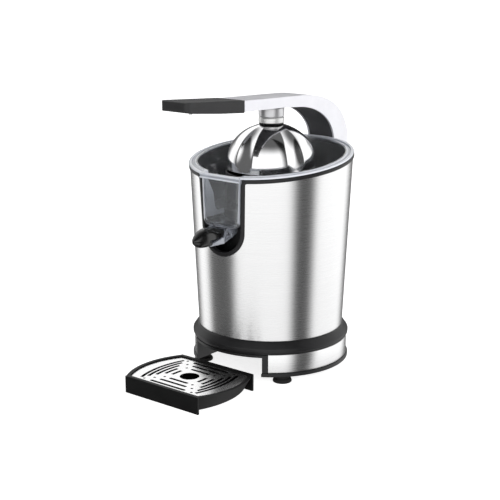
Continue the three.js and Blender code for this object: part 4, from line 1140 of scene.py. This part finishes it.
def make_tray():
    """The tray: a bowl between two upright plates, with a seat for the grille."""
    half_depth = (TRAY_HIGH.y - TRAY_LOW.y) / 2
    bulge = TRAY_HIGH.x
    height = TRAY_HIGH.z
    corner_half = 58.3
    plate = 2.5
    grille_half = (GRILLE_HIGH.y - GRILLE_LOW.y) / 2
    bowl = drafted(tray_outline(half_depth - plate + 0.2, corner_half, bulge), 1, height, 0.81, 0.95)
    inner = half_depth - plate
    near = box(-corner_half, corner_half, -half_depth, -inner, 0, height)
    far = box(-corner_half, corner_half, inner, half_depth, 0, height)
    cavity = drafted(tray_outline(grille_half - 2, 51.8, GRILLE_HIGH.x - 2.2), 3, height + 1, 0.81, 0.96)
    seat = prism(tray_outline(grille_half + 0.5, 54.3, GRILLE_HIGH.x + 0.5), GRILLE_LOW.z - GAP, height + 1)
    bm = moved(cut(joined(bowl, near, far), cavity, seat), 0, TRAY_Y)
    piece(
        "tray_moulding", bm, "tray", "black_plastic", ["drip_tray"], bevel=0.6, segments=3, look="deep_black"
    )


def grille_holes(low, high):
    """Straight and bowed slots about the finger hole, and round holes between them."""
    half = 2.1
    dot_radius = 1.7
    rows = [(19.5, 12.9), (29.1, 19.2), (38.8, 26.1)]
    columns = [(21, 8.3), (30, 11), (37.2, 20.5), (43.8, 30.2), (50, 38)]
    dots = [(22.3, 19.7), (30, 29.3), (38, 39)]
    bow = 112.0
    tools = [disc(11.9, low, high, 64)]
    for side in (-1, 1):
        for y, reach in rows:
            ends = arc(reach, side * y, half, -90, 90, 6) + arc(-reach, side * y, half, 90, 270, 6)
            tools.append(prism(ends, low, high))
        for x, reach in columns:
            swing = math.degrees(math.asin(reach / bow))
            centre = x - bow
            outer = arc(centre, 0, bow + half, -swing, swing, 14)
            inner = arc(centre, 0, bow - half, swing, -swing, 14)
            tools.append(prism([(side * p.x, p.y) for p in outer + inner], low, high))
        for x, y in dots:
            for up in (-1, 1):
                tools.append(disc(dot_radius, low, high, 16, side * x, up * y))
    return merged_parts(tools)


def make_grille():
    """The steel grille, a plate whose slots and holes have walls painted black as painted shade inside them.
    """
    half_depth = (GRILLE_HIGH.y - GRILLE_LOW.y) / 2
    low = GRILLE_LOW.z
    high = GRILLE_HIGH.z
    plate = prism(tray_outline(half_depth, 53.8, GRILLE_HIGH.x), low, high)
    bm = moved(cut(plate, grille_holes(low - 1, high + 1)), 0, TRAY_Y)
    obj = piece("grille_plate", bm, "grille", "brushed_steel", ["tray_grille"], bevel=0.15, look="flat_steel")
    # Black on the upright walls of the slots and holes is painted shade.
    obj.data.materials.append(MATERIALS["deep_black"])
    for polygon in obj.data.polygons:
        polygon.material_index = 1 if abs(polygon.normal.z) < 0.5 else 0


# ---- carried-over nodes
def dress_carried_nodes():
    """The pieces whose CAD shape is right keep it, with softened edges and a full material."""
    slots = {s["node"]: s["material_slot"] for s in frame["record"]["subparts"]}
    shown = [n for n, o in frame["nodes"].items() if not o.hide_render]
    for name in shown:
        obj = frame["nodes"][name]
        obj.data.materials.clear()
        obj.data.materials.append(MATERIALS[slots[name]])
        shade(obj.data, EDGE_ANGLE)
        if name in ("hinge_bracket", "hinge_pin", "cord_gland", "bottom_cover"):
            add_bevel(obj, 0.5, 2)


# ---- studio
CAMERA_TURN = math.radians(39.232)
CAMERA_TILT = math.radians(14.197)
CAMERA_PLACE = (0.9264, -1.1767, 0.5246)
CAMERA_LENS = 86.93
CAMERA_SENSOR = 36
FLOOR_HALF = 6
FLOOR_GLOW = 0.8
SKY_SEEN = 1.25
SKY_REFLECTED = 1.36
# Each dark card: its angle from the front, half width and soft edge in degrees, and its darkness.
RIGHT_CARD = (88, 17, 9, 0.93)
LEFT_CARD = (-45, 26, 9, 0.9)
BACK_CARD = (-141, 38, 14, 0.88)
# Each change in brightness with height: where it starts and ends in degrees above the horizon, and
# how bright the sky is below and above it.
BACK_CARD_TOP = (11, 19, 0.0, 1.0)
CEILING = (28, 66, 1.0, 0.10)
LOW_SKY = (-27, -15, 0.70, 1.0)


def make_camera():
    data = bpy.data.cameras.new("camera")
    data.sensor_width = CAMERA_SENSOR
    data.lens = CAMERA_LENS
    camera = new_object("camera", data)
    camera.location = Vector(CAMERA_PLACE) + Vector((0, AXIS_Y, 0))
    camera.rotation_euler = (math.pi / 2 - CAMERA_TILT, 0, CAMERA_TURN)
    bpy.context.scene.camera = camera


def make_floor():
    """A white floor that looks blank to the camera, takes soft shadows and shows in no reflection."""
    bm = bmesh.new()
    bmesh.ops.create_grid(bm, x_segments=8, y_segments=8, size=FLOOR_HALF)
    floor = new_object("floor", mesh_from(bm, "floor"))
    material, _ = finish("floor", (0.92, 0.92, 0.92), (0.94, 0.94, 0.94), 0.7, 0.7, (3, 3, 3), 3)
    shader = shader_of(material)
    path = add_node(material.node_tree, "LightPath", {})
    shader.inputs["Emission Color"].default_value = (1, 1, 1, 1)
    lift = node_math(material.node_tree, "MULTIPLY", path.outputs["Is Camera Ray"], FLOOR_GLOW)
    material.node_tree.links.new(lift, shader.inputs["Emission Strength"])
    floor.data.materials.append(material)
    floor.visible_glossy = False


def make_area(name, place, target, width, height, power):
    """A light that brightens the object but shows in no reflection."""
    data = bpy.data.lights.new(name, "AREA")
    data.shape = "RECTANGLE"
    data.size = width
    data.size_y = height
    data.energy = power
    light = new_object(name, data)
    light.location = place
    light.visible_glossy = False
    light.rotation_euler = (Vector(target) - Vector(place)).to_track_quat("-Z", "Y").to_euler()


def node_math(tree, operation, *values):
    """The result of a sum on numbers and on other nodes' results."""
    node = add_node(tree, "Math", dict(enumerate(values)))
    node.operation = operation
    return node.outputs[0]


def sky_direction(tree):
    """The x, y and z of the direction that a ray leaves in."""
    place = add_node(tree, "TexCoord", {})
    return add_node(tree, "SeparateXYZ", {"Vector": place.outputs["Generated"]}).outputs


def dark_card(tree, azimuth, half_width, soft, darkness):
    """How much light is left beside a dark upright card that stands at an angle from the front."""
    x, y, _ = sky_direction(tree)
    angle = node_math(tree, "ARCTAN2", x, node_math(tree, "MULTIPLY", y, -1.0))
    away = node_math(tree, "SUBTRACT", angle, math.radians(azimuth))
    away = node_math(tree, "ABSOLUTE", node_math(tree, "WRAP", away, math.pi, -math.pi))
    start = math.radians(half_width - soft)
    end = math.radians(half_width + soft)
    return ranged(tree, away, start, end, 1 - darkness, 1.0, "SMOOTHSTEP")


def by_height(tree, start, end, below, above):
    """A value that changes smoothly between two heights, given in degrees above the horizon."""
    height = sky_direction(tree)["Z"]
    start = math.sin(math.radians(start))
    end = math.sin(math.radians(end))
    return ranged(tree, height, start, end, below, above, "SMOOTHSTEP")


def make_world():
    """A white studio with three dark upright cards, which reflections see and the camera doesn't."""
    world = bpy.data.worlds.new("studio")
    bpy.context.scene.world = world
    world.use_nodes = True
    tree = world.node_tree
    level = node_math(tree, "MAXIMUM", dark_card(tree, *BACK_CARD), by_height(tree, *BACK_CARD_TOP))
    for layer in (
        dark_card(tree, *RIGHT_CARD), dark_card(tree, *LEFT_CARD), by_height(tree, *CEILING),
        by_height(tree, *LOW_SKY),
    ):
        level = node_math(tree, "MULTIPLY", level, layer)
    mix = tree.nodes.new("ShaderNodeMix")
    mix.data_type = "FLOAT"
    path = add_node(tree, "LightPath", {})
    tree.links.new(path.outputs["Is Camera Ray"], mix.inputs[0])
    tree.links.new(node_math(tree, "MULTIPLY", level, SKY_REFLECTED), mix.inputs[2])
    mix.inputs[3].default_value = SKY_SEEN
    background = tree.nodes["Background"]
    tree.links.new(mix.outputs[0], background.inputs["Strength"])
    background.inputs["Color"].default_value = (1, 1, 1, 1)


def make_studio():
    scene = bpy.context.scene
    scene.view_settings.view_transform = "Standard"
    make_camera()
    make_floor()
    make_world()
    make_area("key", (1.6, -0.5, 0.7), (0, 0, 0.25), 0.9, 0.9, 12)


# ---- whole object
make_steel_body()
make_rim_trim()
make_inner_housing()
make_plinth()
make_base_band()
make_feet()
make_collector()
make_spout()
make_strainer()
make_reamer()
make_return_spring()
make_arm()
make_arm_liner()
make_grip()
make_neck()
make_dome()
make_tray()
make_grille()
dress_carried_nodes()
make_studio()
